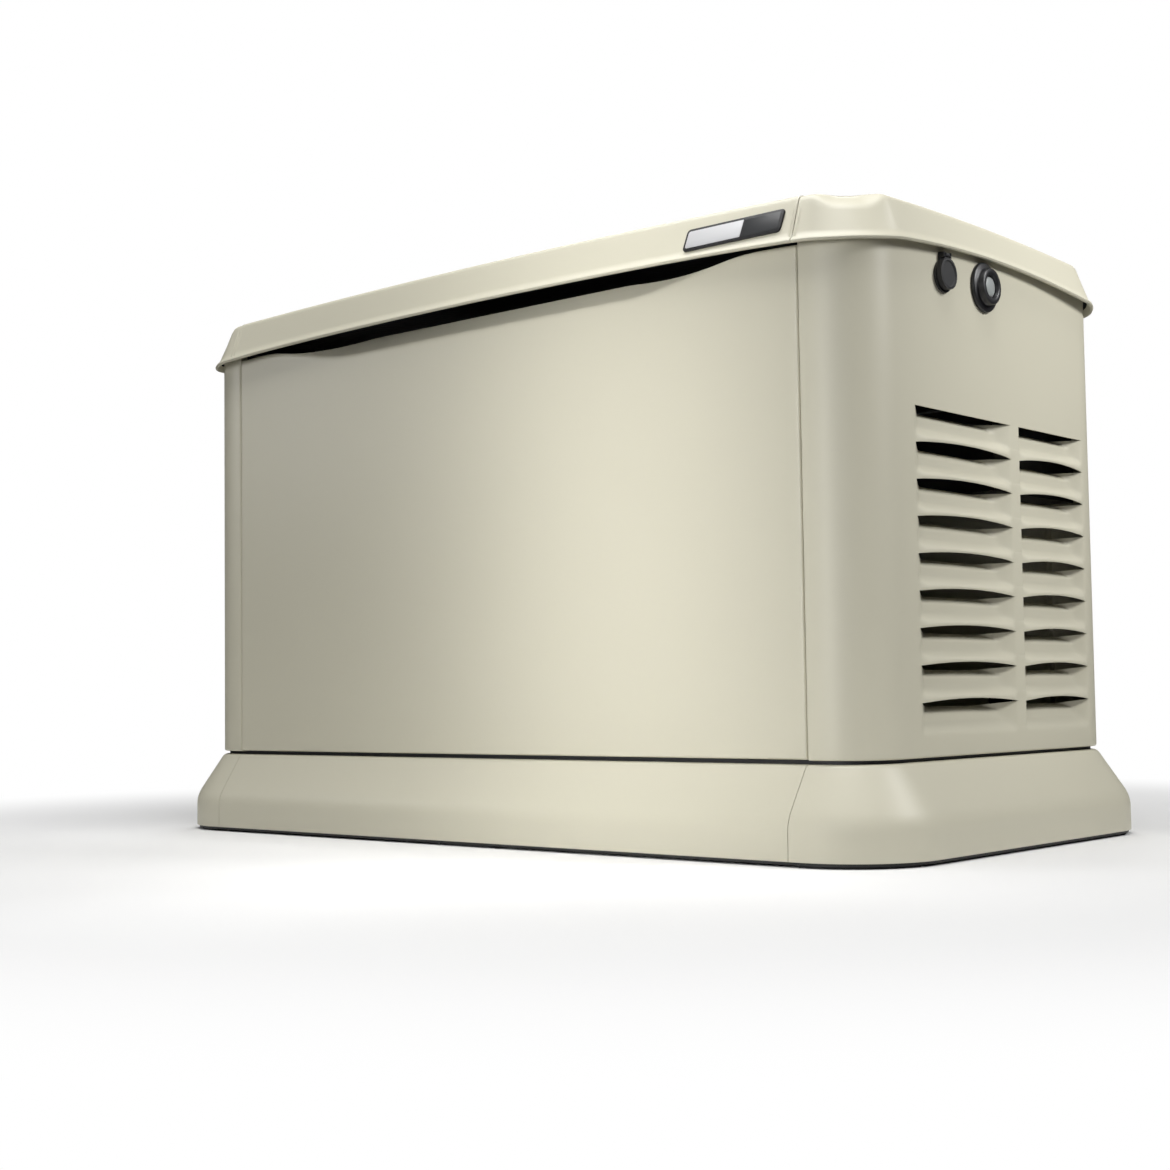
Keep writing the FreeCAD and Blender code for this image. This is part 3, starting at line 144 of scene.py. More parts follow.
BISQUE = (0.60, 0.575, 0.46)
M = {
    "enclosure_paint": material(
        "enclosure_paint", BISQUE, 0.42, mottle=0.012, grain=(700, 0.05), rough_var=0.03
    ),
    "skirt_plastic": material(
        "skirt_plastic", BISQUE, 0.46, mottle=0.012, grain=(900, 0.06), rough_var=0.03
    ),
    "base_black": material("base_black", (0.012, 0.012, 0.012), 0.5, grain=(600, 0.1)),
    "black_rubber": material("black_rubber", (0.018, 0.018, 0.019), 0.7, grain=(800, 0.15), edge=0.0006),
    "black_plastic": material("black_plastic", (0.016, 0.016, 0.018), 0.4, grain=(1500, 0.12), edge=0.0006),
    "grey_plastic": material("grey_plastic", (0.13, 0.135, 0.14), 0.5, grain=(1500, 0.12), edge=0.0006),
    "badge": material("badge", (0.01, 0.01, 0.011), 0.5, grain=(1200, 0.02)),
    "badge_silver": material(
        "badge_silver", (0.56, 0.56, 0.57), 0.5, grain=(900, 0.03), stretch=(1, 1, 12)
    ),
    "badge_grey": material("badge_grey", (0.028, 0.029, 0.031), 0.5, grain=(900, 0.03)),
    "zinc_steel": material("zinc_steel", (0.62, 0.62, 0.58), 0.32, 1.0, grain=(900, 0.06), edge=0.0005),
    "bright_steel": material("bright_steel", (0.75, 0.75, 0.75), 0.16, 1.0, grain=(700, 0.03), edge=0.0005),
    "galvanised": material(
        "galvanised", (0.5, 0.52, 0.53), 0.4, 1.0, mottle=0.2, grain=(60, 0.2), pattern="cells"
    ),
    "foam": material("foam", (0.015, 0.015, 0.015), 0.95, grain=(90, 1.0), pattern="cells"),
    "lens": material("lens", (0.5, 0.53, 0.52), 0.35, grain=(500, 0.1), transmission=0.35),
    "display_glass": material("display_glass", (0.02, 0.035, 0.03), 0.12, grain=(400, 0.01), coat=0.5),
    "button_green": material("button_green", (0.03, 0.2, 0.05), 0.35, grain=(900, 0.05), edge=0.0008),
    "button_red": material("button_red", (0.35, 0.02, 0.015), 0.35, grain=(900, 0.05), edge=0.0008),
    "button_blue": material("button_blue", (0.02, 0.07, 0.25), 0.35, grain=(900, 0.05), edge=0.0008),
    "cast_alloy": material("cast_alloy", (0.42, 0.43, 0.44), 0.5, 0.9, 0.15, (260, 0.35), edge=0.001),
    "engine_black": material(
        "engine_black", (0.018, 0.018, 0.018), 0.35, grain=(300, 0.15), coat=0.2, edge=0.001
    ),
    "muffler_steel": material("muffler_steel", (0.36, 0.33, 0.29), 0.42, 1.0, 0.3, (120, 0.2), edge=0.001),
    "filter_orange": material("filter_orange", (0.5, 0.14, 0.02), 0.3, grain=(700, 0.04), coat=0.3),
    "filter_paper": material("filter_paper", (0.6, 0.52, 0.33), 0.9, grain=(200, 0.4)),
    "battery_case": material("battery_case", (0.02, 0.02, 0.022), 0.45, grain=(900, 0.2), edge=0.001),
    "cable_black": material("cable_black", (0.02, 0.02, 0.02), 0.5, grain=(500, 0.1)),
    "winding_core": material("winding_core", (0.3, 0.13, 0.05), 0.4, 0.7, 0.2, (300, 0.4), (12, 1, 1)),
    "yellow_plastic": material("yellow_plastic", (0.65, 0.4, 0.02), 0.35, grain=(900, 0.05)),
    # painted shade: near-black finish for the lid's inside faces, so the gap under the rim reads dark
    "lid_inside_shade": material("lid_inside_shade", (0.01, 0.01, 0.01), 0.9, grain=(200, 0.4)),
}


# ------------------------------------------------------------------ mesh helpers
SHARP = 35.0                    # degrees over which an edge is drawn sharp


def finish_mesh(obj, sharp_deg):
    """Shades a mesh smooth except over edges sharper than an angle."""
    obj.data.polygons.foreach_set("use_smooth", [True] * len(obj.data.polygons))
    obj.data.set_sharp_from_angle(angle=math.radians(sharp_deg))


def thicken(obj, thick, inner):
    """Gives a sheet its thickness, inwards, with another finish inside if one is named."""
    mod = obj.modifiers.new("thickness", "SOLIDIFY")
    mod.thickness = thick * MM
    mod.offset = -1.0
    if inner:
        obj.data.materials.append(M[inner])
        mod.material_offset = 1
    done = obj.evaluated_get(bpy.context.evaluated_depsgraph_get())
    solid = bpy.data.meshes.new_from_object(done)
    obj.modifiers.clear()
    obj.data = solid


def piece(name, verts, faces, slot, body, replaces=(), thick=0.0, inner=None, sharp=SHARP):
    """Makes one visible piece from vertices in millimetres, welded where they coincide."""
    keys, index = {}, np.empty(len(verts), int)
    kept = []
    for i, v in enumerate(verts):
        key = (round(v[0], 2), round(v[1], 2), round(v[2], 2))
        if key not in keys:
            keys[key] = len(kept)
            kept.append(v)
        index[i] = keys[key]
    clean = []
    for f in faces:
        welded = [int(index[i]) for i in f]
        welded = [a for n, a in enumerate(welded) if a != welded[n - 1]]
        if len(set(welded)) > 2:
            clean.append(welded)
    mesh = bpy.data.meshes.new(name)
    mesh.from_pydata([tuple(c * MM for c in v) for v in kept], [], clean)
    mesh.validate()
    obj = bpy.data.objects.new(name, mesh)
    bpy.context.scene.collection.objects.link(obj)
    mesh.materials.append(M[slot])
    if thick:
        thicken(obj, thick, inner)
    finish_mesh(obj, sharp)
    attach(obj, body)
    if replaces:
        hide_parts(*replaces)


class Sheet:
    """Collects grids of points into one mesh; rows run upwards and columns run anticlockwise."""

    def __init__(self):
        self.verts, self.faces = [], []

    def grid(self, pts, skip=None):
        rows, cols = pts.shape[:2]
        base = len(self.verts)
        self.verts += [tuple(p) for p in pts.reshape(-1, 3)]
        for r in range(rows - 1):
            for c in range(cols - 1):
                if skip is None or not skip[r][c]:
                    a = base + r * cols + c
                    self.faces.append((a, a + 1, a + cols + 1, a + cols))

    def hole(self, pts, r0, r1, c0, c1, centre, radius):
        """Fills a square left open in a grid up to a round hole."""
        loop = [(r0, c) for c in range(c0, c1)] + [(r, c1) for r in range(r0, r1)]
        loop += [(r1, c) for c in range(c1, c0, -1)] + [(r, c0) for r in range(r1, r0, -1)]
        base, n = len(self.verts), len(loop)
        outer = [pts[r, c] for r, c in loop]
        inner = []
        for p in outer:
            d = np.array([p[0] - centre[0], 0, p[2] - centre[2]])
            inner.append(np.array([centre[0], p[1], centre[2]]) + d * (radius / np.linalg.norm(d)))
        self.verts += [tuple(p) for p in outer + inner]
        for i in range(n):
            j = (i + 1) % n
            self.faces.append((base + i, base + j, base + n + j, base + n + i))


def skin(node, sheet, slot, body, thick, inner=None):
    """Makes a sheet into the visible form of one CAD node."""
    piece(node + "_skin", sheet.verts, sheet.faces, slot, body, (node,), thick, inner)


def end_path(x_seam, ys, arc=14):
    """(x, y, nx, ny) round the right end of the body outline, from the front seam to the rear."""
    pts = [(x_seam, -BODY_HY, 0, -1)]
    for a in np.linspace(-90, 0, arc):
        c, s = math.cos(math.radians(a)), math.sin(math.radians(a))
        pts.append((CORNER_X + BODY_R * c, -CORNER_Y + BODY_R * s, c, s))
    pts += [(BODY_HX, y, 1, 0) for y in ys if abs(y) < CORNER_Y - 0.5]
    for a in np.linspace(0, 90, arc):
        c, s = math.cos(math.radians(a)), math.sin(math.radians(a))
        pts.append((CORNER_X + BODY_R * c, CORNER_Y + BODY_R * s, c, s))
    pts.append((x_seam, BODY_HY, 0, 1))
    return np.array(pts)


def edge_round(distance, radius=3.0):
    """How far a folded edge falls back, at a distance from the edge."""
    d = np.clip(radius - distance, 0, radius)
    return -(radius - np.sqrt(radius**2 - d**2))


FOLD_STEPS = (0.15, 0.5, 1.0, 1.8, 3.0)


def fold(steps=FOLD_STEPS):
    """(distance in from a panel's edge, fall-back) over its turned-in flange and rounded fold."""
    return [(0.0, -14.0), (0.0, -3.0)] + [(d, float(edge_round(d))) for d in steps]


# ------------------------------------------------------------------ louvres
# how deep a blade is pressed in, how high its foot arches and how far its top edge is drawn down
DEPTH, ARCH, GAP = 22.0, 5.0, 4.5
FAR_WALL = 0.28                 # part of a blade's length over which its pressing runs out
SOFT = 1.1                      # how soft the corners between its walls are
LAST_HEIGHT = 40.0              # of the lowest blade
STEPS = 20                      # rows of points down one blade
BLADE_T = (0.0, 0.12, 0.30, 0.44, 0.56, 0.72, 0.86, 0.95, 1.0)       # down a blade, from its slit
BLADE_OUT = (-22.0, -16.0, -10.0, -8.8, -7.4, -1.6, 3.0, 4.0, 3.4)    # how far it stands out there
LAST_OUT = (-22.0, -16.5, -11.5, -10.0, -8.5, -4.2, -1.0, -0.2, 0.0)  # the lowest blade ends flush


def louvre_rows(top, rows, pitch, high_count):
    """Rows from the foot of the lowest blade up: (louvre, t, z), with each slit's row doubled.
    Above the top slit louvre is -1, and t is the part of the way up to the panel's top."""
    out = []
    for k in range(rows - 1, -1, -1):
        height = LAST_HEIGHT if k == rows - 1 else pitch
        z = top - k * pitch
        for i in range(STEPS + 1):
            t = 1 - i / STEPS
            out.append((k, t, z - t * height))
    out += [(-1, f, None) for f in np.linspace(0, 1, high_count)]
    return out


def louvre_offset(k, t, u, rows, wall):
    """(outward, upward) shift of a pressed louvre at u along it and t down from its slit."""
    blade = float(np.interp(t, BLADE_T, LAST_OUT if k == rows - 1 else BLADE_OUT))
    arch = 1 - (2 * u - 1) ** 2
    limits = [max(0.0, -blade), DEPTH * (1 - u) / FAR_WALL, DEPTH * u / wall]
    low = -SOFT * math.log(sum(math.exp(-p / SOFT) for p in limits))
    low = max(0.0, low) * min(1.0, u / 0.02, (1 - u) / 0.02)
    ends = min(1.0, u / 0.06, (1 - u) / 0.06)
    out = max(0.0, blade) * ends * (0.55 + 0.45 * arch) - low
    up = -GAP * low / DEPTH * max(0.0, 1 - 3 * t)
    if k < rows - 1:
        up += ARCH * arch * float(smoothstep((t - 0.6) / 0.4))
    return out, up


def louvred_grid(path, columns, rows_spec, rows, along, top_of, edge_cols, walls):
    """Points of a louvred sheet. along[c] is the position used to find louvre columns."""
    pts = np.empty((len(rows_spec), len(path), 3))
    slit_top = max(z for k, t, z in rows_spec if k == 0)
    for c, (x, y, nx, ny) in enumerate(path):
        found = [n for n, (a, b) in enumerate(columns) if a <= along[c] <= b]
        for r, (k, t, z) in enumerate(rows_spec):
            out = edge_cols[c]
            if k == -1:
                z = slit_top + t * (top_of(x, y) - slit_top)
            elif k is None:
                out += t
            elif found:
                start, end = columns[found[0]]
                u = (along[c] - start) / (end - start)
                shift, up = louvre_offset(k, t, u, rows, walls[found[0]])
                out += shift
                z += up
            pts[r, c] = (x + nx * out, y + ny * out, z)
    return pts


def slit_skip(rows_spec, cols):
    """Marks the zero-height rows between the two sides of each slit."""
    skip = np.zeros((len(rows_spec) - 1, cols - 1), bool)
    for r in range(len(rows_spec) - 1):
        k0, k1 = rows_spec[r][0], rows_spec[r + 1][0]
        if k0 is not None and k1 is not None and k0 != k1:
            skip[r] = True
    return skip


def foot_rows(z0, z1, count):
    """Rows of the rounded bottom fold and the flat above it, with the fall-back as their t value."""
    rows = [(None, e, z0 + d) for d, e in fold()]
    rows += [(None, 0.0, z) for z in np.linspace(z0 + 3, z1, count)[1:]]
    return rows


def louvre_columns(a, b, count):
    """Positions across one column of louvres, closer together at its ends."""
    return list(a + (b - a) * np.concatenate([[0, 0.02], np.linspace(0.04, 0.96, count), [0.98, 1.0]]))


def panel_top(x, y):
    """Upper edge of the panels, tucked up behind the lid's rim."""
    return rim(x, y) + TUCK


PITCH = 43.44
ROWS, SLIT_TOP = 9, 527.8
REAR_ROWS, REAR_SLIT_TOP = 6, 560.0
# where the columns of louvres start and end, along y on the end panels and along x on the rear
RIGHT_COLUMNS = ((-197.0, 36.4), (57.1, 234.5))
LEFT_COLUMNS = ((-210.0, -12.0), (12.0, 210.0))
REAR_COLUMNS = ((-410.0, -220.0), (-200.0, -10.0))
RIGHT_WALLS, PLAIN_WALLS = (0.18, 0.05), (0.08, 0.08)   # as FAR_WALL, for each column's near end
FUEL, CONDUIT = (175.0, 250.0, 19.0), (430.0, 180.0, 17.5)      # x, z, radius of the rear openings
HALF_SQUARE = 26.0              # half of the square patch of the grid that holds an opening


def side_panel(side):
    """End panel, right or left, that wraps both rounded corners, with two columns of louvres."""
    columns = RIGHT_COLUMNS if side > 0 else LEFT_COLUMNS
    ys = [-235.0, -225.0, -215.0, -205.0]
    for a, b in columns:
        ys += louvre_columns(a, b, 62)
    ys = sorted(set(round(float(y), 3) for y in ys if abs(y) < CORNER_Y - 0.5))
    path = end_path(SEAM_X + SEAM_GAP / 2 + 3, ys)
    x0 = SEAM_X + SEAM_GAP / 2
    folds = fold(FOLD_STEPS[:-1])
    first = [(x0 + d, -BODY_HY, 0, -1) for d, _ in folds]
    last = [(x0 + d, BODY_HY, 0, 1) for d, _ in reversed(folds)]
    path = np.array([*first, *map(tuple, path), *last])
    fall = [e for _, e in folds]
    edge_cols = [*fall, *[0.0] * (len(path) - 2 * len(fall)), *reversed(fall)]
    off_columns = 1e6
    along = [y if nx == 1 else off_columns for _, y, nx, _ in path]
    low = foot_rows(BASE_TOP, SLIT_TOP - (ROWS - 1) * PITCH - LAST_HEIGHT, 5)[:-1]
    spec = [*low, *louvre_rows(SLIT_TOP, ROWS, PITCH, 16)]
    walls = RIGHT_WALLS if side > 0 else PLAIN_WALLS
    pts = louvred_grid(path, columns, spec, ROWS, along, panel_top, edge_cols, walls)
    if side < 0:
        pts = mirrored(pts)
    sheet = Sheet()
    sheet.grid(pts, slit_skip(spec, pts.shape[1]))
    node = "side_panel_right" if side > 0 else "side_panel_left"
    skin(node, sheet, "enclosure_paint", "enclosure", PANEL_THICK)


def across(half, extra=(), step=12.0):
    """Column positions over a flat panel, with folded edges at both ends: (x, fall-back)."""
    inner = list(np.arange(-half + 6, half - 5.9, step)) + list(extra)
    left = [(-half + d, e) for d, e in fold()]
    right = [(half - d, e) for d, e in reversed(fold())]
    middle = sorted(set(round(float(x), 3) for x in inner if abs(x) < half - 3.5))
    return [*left, *[(x, 0.0) for x in middle], *right]


def rear_panel():
    """Rear panel with two columns of louvres and round openings for fuel and conduit."""
    extra = []
    for a, b in REAR_COLUMNS:
        extra += louvre_columns(a, b, 50)
    for cx, _, _ in (FUEL, CONDUIT):
        extra += list(np.linspace(cx - HALF_SQUARE, cx + HALF_SQUARE, 9))
    cols = across(SEAM_X - SEAM_GAP / 2, extra, 24.0)
    zs = [150.0]
    for _, cz, _ in (FUEL, CONDUIT):
        zs += list(np.linspace(cz - HALF_SQUARE, cz + HALF_SQUARE, 9))
    first = REAR_SLIT_TOP - (REAR_ROWS - 1) * PITCH - LAST_HEIGHT
    low = foot_rows(BASE_TOP, 140.0, 3)
    low += [(None, 0.0, z) for z in sorted(zs) if 141 < z < first - 0.5]
    spec = [*low, *louvre_rows(REAR_SLIT_TOP, REAR_ROWS, PITCH, 14)]
    path = [(-x, BODY_HY, 0, 1) for x, _ in cols]
    along = [p[0] for p in path]
    falls = [e for _, e in cols]
    pts = louvred_grid(path, REAR_COLUMNS, spec, REAR_ROWS, along, panel_top, falls, PLAIN_WALLS)
    skip = slit_skip(spec, len(path))
    sheet = Sheet()
    holes = []
    reach = HALF_SQUARE + 0.01
    for cx, cz, radius in (FUEL, CONDUIT):
        c_in = [c for c in range(len(path)) if abs(along[c] - cx) <= reach]
        r_in = [r for r, (k, t, z) in enumerate(spec) if k is None and t == 0 and abs(z - cz) <= reach]
        holes.append((min(r_in), max(r_in), min(c_in), max(c_in), (cx, 0, cz), radius))
        skip[min(r_in) : max(r_in), min(c_in) : max(c_in)] = True
    sheet.grid(pts, skip)
    for h in holes:
        sheet.hole(pts, *h)
    skin("rear_panel", sheet, "enclosure_paint", "enclosure", PANEL_THICK)


# ------------------------------------------------------------------ door
SCOOP_Z = 687.0                 # height of the scoop's lip in the middle
SCOOP_SLOPE, SCOOP_SOFT = 1.12, 5.0     # slope of the scooped sheet above the lip, softness of the lip
BOW = 2.5                       # how far the door bows outwards


def lip_height(x):
    """Height of the hand scoop's lip, level in the middle and rising in an S towards each side."""
    end = np.interp(abs(x), (430, 512), (714, 711.5))
    return SCOOP_Z + (end - SCOOP_Z) * float(smoothstep((abs(x) - 250) / 215))


def scoop_rise(x):
    """How far the sheet carries on above the lip before the opening under the lid."""
    return 0.3 + 25.2 * (1 - float(smoothstep((abs(x) - 230) / 170)))


def front_panel():
    """The door: faintly bowed, folded at its edges, with the hand scoop under the lid."""
    half, z0 = SEAM_X - SEAM_GAP / 2, BASE_TOP + 1
    cols = across(half, (), 8.0)
    foot = [(z0 + d, e) for d, e in fold()]
    body = np.concatenate([np.linspace(0.01, 0.9, 24), np.linspace(0.91, 1.0, 22)])
    above = np.concatenate([np.linspace(0, 0.3, 9)[1:], np.linspace(0.3, 1, 10)[1:]])
    pts = np.empty((len(foot) + len(body) + len(above), len(cols), 3))
    for c, (x, e) in enumerate(cols):
        lip = lip_height(x)
        line = list(foot)
        line += [(z0 + 3 + f * (lip - z0 - 3), 0.0) for f in body]
        line += [(lip + f * scoop_rise(x), 0.0) for f in above]
        for r, (z, f) in enumerate(line):
            w = z - lip
            scoop = -SCOOP_SLOPE * (math.sqrt(w * w + SCOOP_SOFT) + w) / 2
            bow = BOW * (1 - (x / half) ** 2) * math.sin(math.pi * min(1.0, max(0.0, (z - z0) / 600)))
            pts[r, c] = (x, -(BODY_HY + e + f + scoop + bow), z)
    sheet = Sheet()
    sheet.grid(pts)
    skin("front_panel", sheet, "enclosure_paint", "front_door", PANEL_THICK)


# ------------------------------------------------------------------ base wrap
def wrap_profile():
    """(out, z) from the foot of the wrap, round its break, up the slope to its rounded top."""
    points = [(39.8, 6.6), (41.4, 6.0), (41.5, 7.5), (41.5, 38.0)]
    points += [curve((41.5, 38.0), (41.5, 49.0), (35.0, 60.0), a) for a in np.linspace(0, 1, 9)[1:]]
    points += [(24.0, 77.0), (12.0, 95.0), (3.8, 107.6)]
    points += [curve((3.8, 107.6), (0.6, 112.8), (-5.5, 112.8), a) for a in np.linspace(0, 1, 6)[1:]]
    return points


def sweep(path, profile):
    """Carries an (out, z) profile round an outline."""
    return np.array([[(x + nx * d, y + ny * d, z) for x, y, nx, ny in path] for d, z in profile])


def base_wraps():
    """The flared skirt: a front, a rear and two end pieces."""
    half, start = SEAM_X - SEAM_GAP / 2, SEAM_X + SEAM_GAP / 2
    profile = wrap_profile()
    for name, y, sign in (("base_wrap_front", -BODY_HY, -1), ("base_wrap_rear", BODY_HY, 1)):
        xs = np.linspace(-half, half, 40) * -sign
        sheet = Sheet()
        sheet.grid(sweep([(x, y, 0, sign) for x in xs], profile))
        skin(name, sheet, "skirt_plastic", "enclosure", WRAP_THICK)
    path = end_path(start, np.linspace(-230, 230, 20), 24)
    pts = sweep(path, profile)
    sheet = Sheet()
    sheet.grid(pts)
    sheet.grid(mirrored(pts))
    skin("base_wrap_ends", sheet, "skirt_plastic", "enclosure", WRAP_THICK)


# ------------------------------------------------------------------ lid
LOCK_Y, LOCK_Z = -125.6, 692.8
# height of the rounded top edge along the panel, the ends and the corners, and how fast it grows
LID_EDGE, END_EDGE, CORNER_EDGE, EDGE_GROW = 7.0, 9.0, 19.0, 40.0
CORNER_BEVEL = 0.5       # how far the rounded top edge flattens to a bevel in the middle of a corner
CORNER_TUCK = 4.0        # how much further in the rim lies there
CORNER_LEAN = 0.32       # and how much more the fascia leans there
END_DROP = 0.8           # the end caps lie this much lower than the panel between them
EDGE_REACH = 1.3         # width of the rounded top edge for its height
SEAM_HALF = 0.4          # half the gap between the panel and an end cap
BEAD, BEAD_WIDTH = 1.3, 1.6     # the fine raised line on each side of a lid seam
ROLLED = ((-3.2, 7), (-3.2, 1), (-1.6, -1.2), (1.2, -0.8), (2.2, 1.2), (1.4, 3.4), (0.1, 6.0))


def fascia_out(z):
    """How far the lid's sloping fascia stands out from the body outline at height z."""
    return RIM_OUT + (MEAN_RIM - z) * LEAN


def lid_profile(x, y, nx, ny, edge, bevel, drop, bead, cornering):
    """(out, z) from inside the rolled rim, up the fascia and over the rounded top edge."""
    foot = rim(x + nx * RIM_OUT, y + ny * RIM_OUT)
    d0 = fascia_out(foot) - drop * 0.5
    line = [(d0 + a - (b * LEAN if b > 5 else 0), foot + b) for a, b in ROLLED]
    top_out = fascia_out(crown(x, y))
    top = crown(x + nx * top_out, y + ny * top_out) - drop
    top_out = fascia_out(top + drop) - drop * 0.5
    for f in np.linspace(0, 1, 8)[1:]:
        z = foot + 6 + f * (top - edge - foot - 6)
        ridge = bead * math.sin(math.pi * min(1, f * 1.05)) ** 0.5
        line.append((fascia_out(z) - drop * 0.5 + ridge, z))
    p0 = line[-1]
    p1 = (top_out, top)
    inner = top_out - edge * EDGE_REACH
    p2 = (inner, crown(x + nx * inner, y + ny * inner) - drop)
    for a in np.linspace(0, 1, 8)[1:]:
        rounded = curve(p0, p1, p2, a)
        flat = [p0[i] + (p2[i] - p0[i]) * a for i in (0, 1)]
        line.append(tuple(r + (f - r) * bevel for r, f in zip(rounded, flat)))
    lean = cornering * CORNER_LEAN * LEAN
    return [(d - lean * max(0.0, z - foot) - cornering * CORNER_TUCK, z) for d, z in line]


def lid_skin(path, edges, drop, bead_x):
    """Rows of points over a lid piece; its top edge grows from edges[0] at the seam to edges[1]
    along the end, and is widest around the corners."""
    lines = []
    for x, y, nx, ny in path:
        cornering = float(smoothstep(2 * abs(nx * ny)))
        end = edges[0] + (edges[1] - edges[0]) * float(smoothstep((abs(x) - LID_SEAM_X) / EDGE_GROW))
        edge = end + (CORNER_EDGE - end) * cornering
        bead = 0.0
        if abs(ny) == 1:
            bead = BEAD * math.exp(-(((abs(x) - bead_x) / BEAD_WIDTH) ** 2))
        lines.append(lid_profile(x, y, nx, ny, edge, CORNER_BEVEL * cornering, drop, bead, cornering))
    pts = np.empty((len(lines[0]), len(path), 3))
    for c, (x, y, nx, ny) in enumerate(path):
        for r, (d, z) in enumerate(lines[c]):
            pts[r, c] = (x + nx * d, y + ny * d, z)
    return pts


def roof(front_edge, rear_edge, drop, vs):
    """Crowned roof between the top of the front fascia and the top of the rear one."""
    pts = np.empty((len(vs), len(front_edge), 3))
    for c, (a, b) in enumerate(zip(front_edge, rear_edge)):
        for r, v in enumerate(vs):
            p = a + (b - a) * v
            p[2] = crown(p[0], p[1]) - drop
            pts[r, c] = p
    return pts


def lid_panel():
    """The middle of the lid: front and rear fascia and the roof between them."""
    seam = LID_SEAM_X - SEAM_HALF
    fine = [seam - d for d in (0, 1, 2, 3, 4, 5, 6, 8)]
    xs = np.array(sorted(set([-x for x in fine] + list(np.linspace(-500, 500, 60)) + fine)))
    edges = (LID_EDGE, LID_EDGE)
    front = lid_skin([(x, -BODY_HY, 0, -1) for x in xs], edges, 0.0, seam - 3.0)
    rear = lid_skin([(x, BODY_HY, 0, 1) for x in xs[::-1]], edges, 0.0, seam - 3.0)
    vs = np.linspace(0, 1, 30)
    sheet = Sheet()
    sheet.grid(front)
    sheet.grid(rear)
    sheet.grid(roof(front[-1], rear[-1][::-1], 0.0, vs))
    # inside faces get the near-black painted shade that darkens the gap under the rim
    skin("lid_panel", sheet, "enclosure_paint", "lid", LID_THICK, "lid_inside_shade")


def lid_ends():
    """The two end caps of the lid, each with its striker."""
    start = LID_SEAM_X + SEAM_HALF
    vs_end = np.linspace(-1, 1, 30)
    ys = vs_end[1:-1] * CORNER_Y
    extra = [start + d for d in (1, 2, 3, 4, 5, 6, 7, 9)]
    arc = 20
    middle = end_path(start, ys, arc)[1:-1]
    lead = [(x, -BODY_HY, 0, -1) for x in (start, *extra)]
    tail = [(x, BODY_HY, 0, 1) for x in reversed((start, *extra))]
    path = [*lead, *map(tuple, middle), *tail]
    pts = lid_skin(path, (LID_EDGE, END_EDGE), END_DROP, start + 3.5)
    n = len(lead) + arc
    top_front, top_rear = pts[-1, :n], pts[-1, -n:][::-1]
    cap = roof(top_front, top_rear, END_DROP, (vs_end + 1) / 2)
    cap[:, -1] = pts[-1, n - 1 : len(path) - n + 1]
    for side, node in ((1, "lid_end_right"), (-1, "lid_end_left")):
        sheet = Sheet()
        for g in (pts, cap):
            sheet.grid(g if side > 0 else mirrored(g))
        # inside faces get the near-black painted shade that darkens the gap under the rim
        skin(node, sheet, "enclosure_paint", "lid", LID_THICK, "lid_inside_shade")
        striker(side)


def striker(side):
    """Slotted tongue under the lid end that the lock's cam turns into."""
    y0, y1, foot, top = LOCK_Y + 20.0, LOCK_Y + 22.0, 664, 770.0
    bars = ((555, 560, foot, top), (571, 575, foot, top), (560, 571, foot, 674), (560, 571, 702, top))
    sheet = Sheet()
    for x0, x1, z0, z1 in bars:
        corners = [(x * side, y, z) for z in (z0, z1) for y in (y0, y1) for x in (x0, x1)]
        b = len(sheet.verts)
        sheet.verts += corners
        for f in ((0, 2, 3, 1), (4, 5, 7, 6), (0, 1, 5, 4), (2, 6, 7, 3), (0, 4, 6, 2), (1, 3, 7, 5)):
            sheet.faces.append(tuple(b + i for i in f))
    name = "striker_right" if side > 0 else "striker_left"
    piece(name, sheet.verts, sheet.faces, "zinc_steel", "lid")


# ------------------------------------------------------------------ badge, light and lock cap
BADGE_LOW, BADGE_HIGH = 727.5, 756.0
BADGE_START, BADGE_END, BADGE_SPLIT = 354.0, 497.0, 440.0
BADGE_SLANT, BADGE_RIM = 2.5, 3.4


def badge_place(x, z, out):
    """A point on the sloping fascia, standing out from it."""
    lean_len = math.hypot(1, LEAN)
    y = -(RIM_HY + (MEAN_RIM - z) * LEAN) - out / lean_len
    return (x, y, z + out * LEAN / lean_len)


def badge_loop(x0, x1, z0, z1, radii):
    """Outline of a slightly slanted plate with rounded corners, from its lower left corner on."""
    corners = [(x0, z0), (x1, z0), (x1, z1), (x0, z1)]
    loop = []
    for (cx, cz), (ix, iz), start, r in zip(
        corners, ((1, 1), (-1, 1), (-1, -1), (1, -1)), (180, 270, 0, 90), radii
    ):
        for a in np.radians(np.linspace(start, start + 90, 8)):
            x, z = cx + ix * r + r * math.cos(a), cz + iz * r + r * math.sin(a)
            loop.append((x + BADGE_SLANT * (z - BADGE_LOW) / (BADGE_HIGH - BADGE_LOW), z))
    return loop


def badge_plate(name, slot, limits, radii, steps, replaces=()):
    """A raised plate; steps are (shrink, height) pairs from its foot up to its face."""
    x0, x1, z0, z1 = limits
    verts, faces = [], []
    for shrink, out in steps:
        less = [max(0.4, r - shrink) for r in radii]
        loop = badge_loop(x0 + shrink, x1 - shrink, z0 + shrink, z1 - shrink, less)
        verts += [badge_place(x, z, out) for x, z in loop]
    n, rings = len(loop), len(steps)
    for k in range(rings - 1):
        for i in range(n):
            j = (i + 1) % n
            faces.append((k * n + i, k * n + j, (k + 1) * n + j, (k + 1) * n + i))
    faces.append(tuple(range((rings - 1) * n, rings * n)))
    piece(name, verts, faces, slot, "lid", replaces)


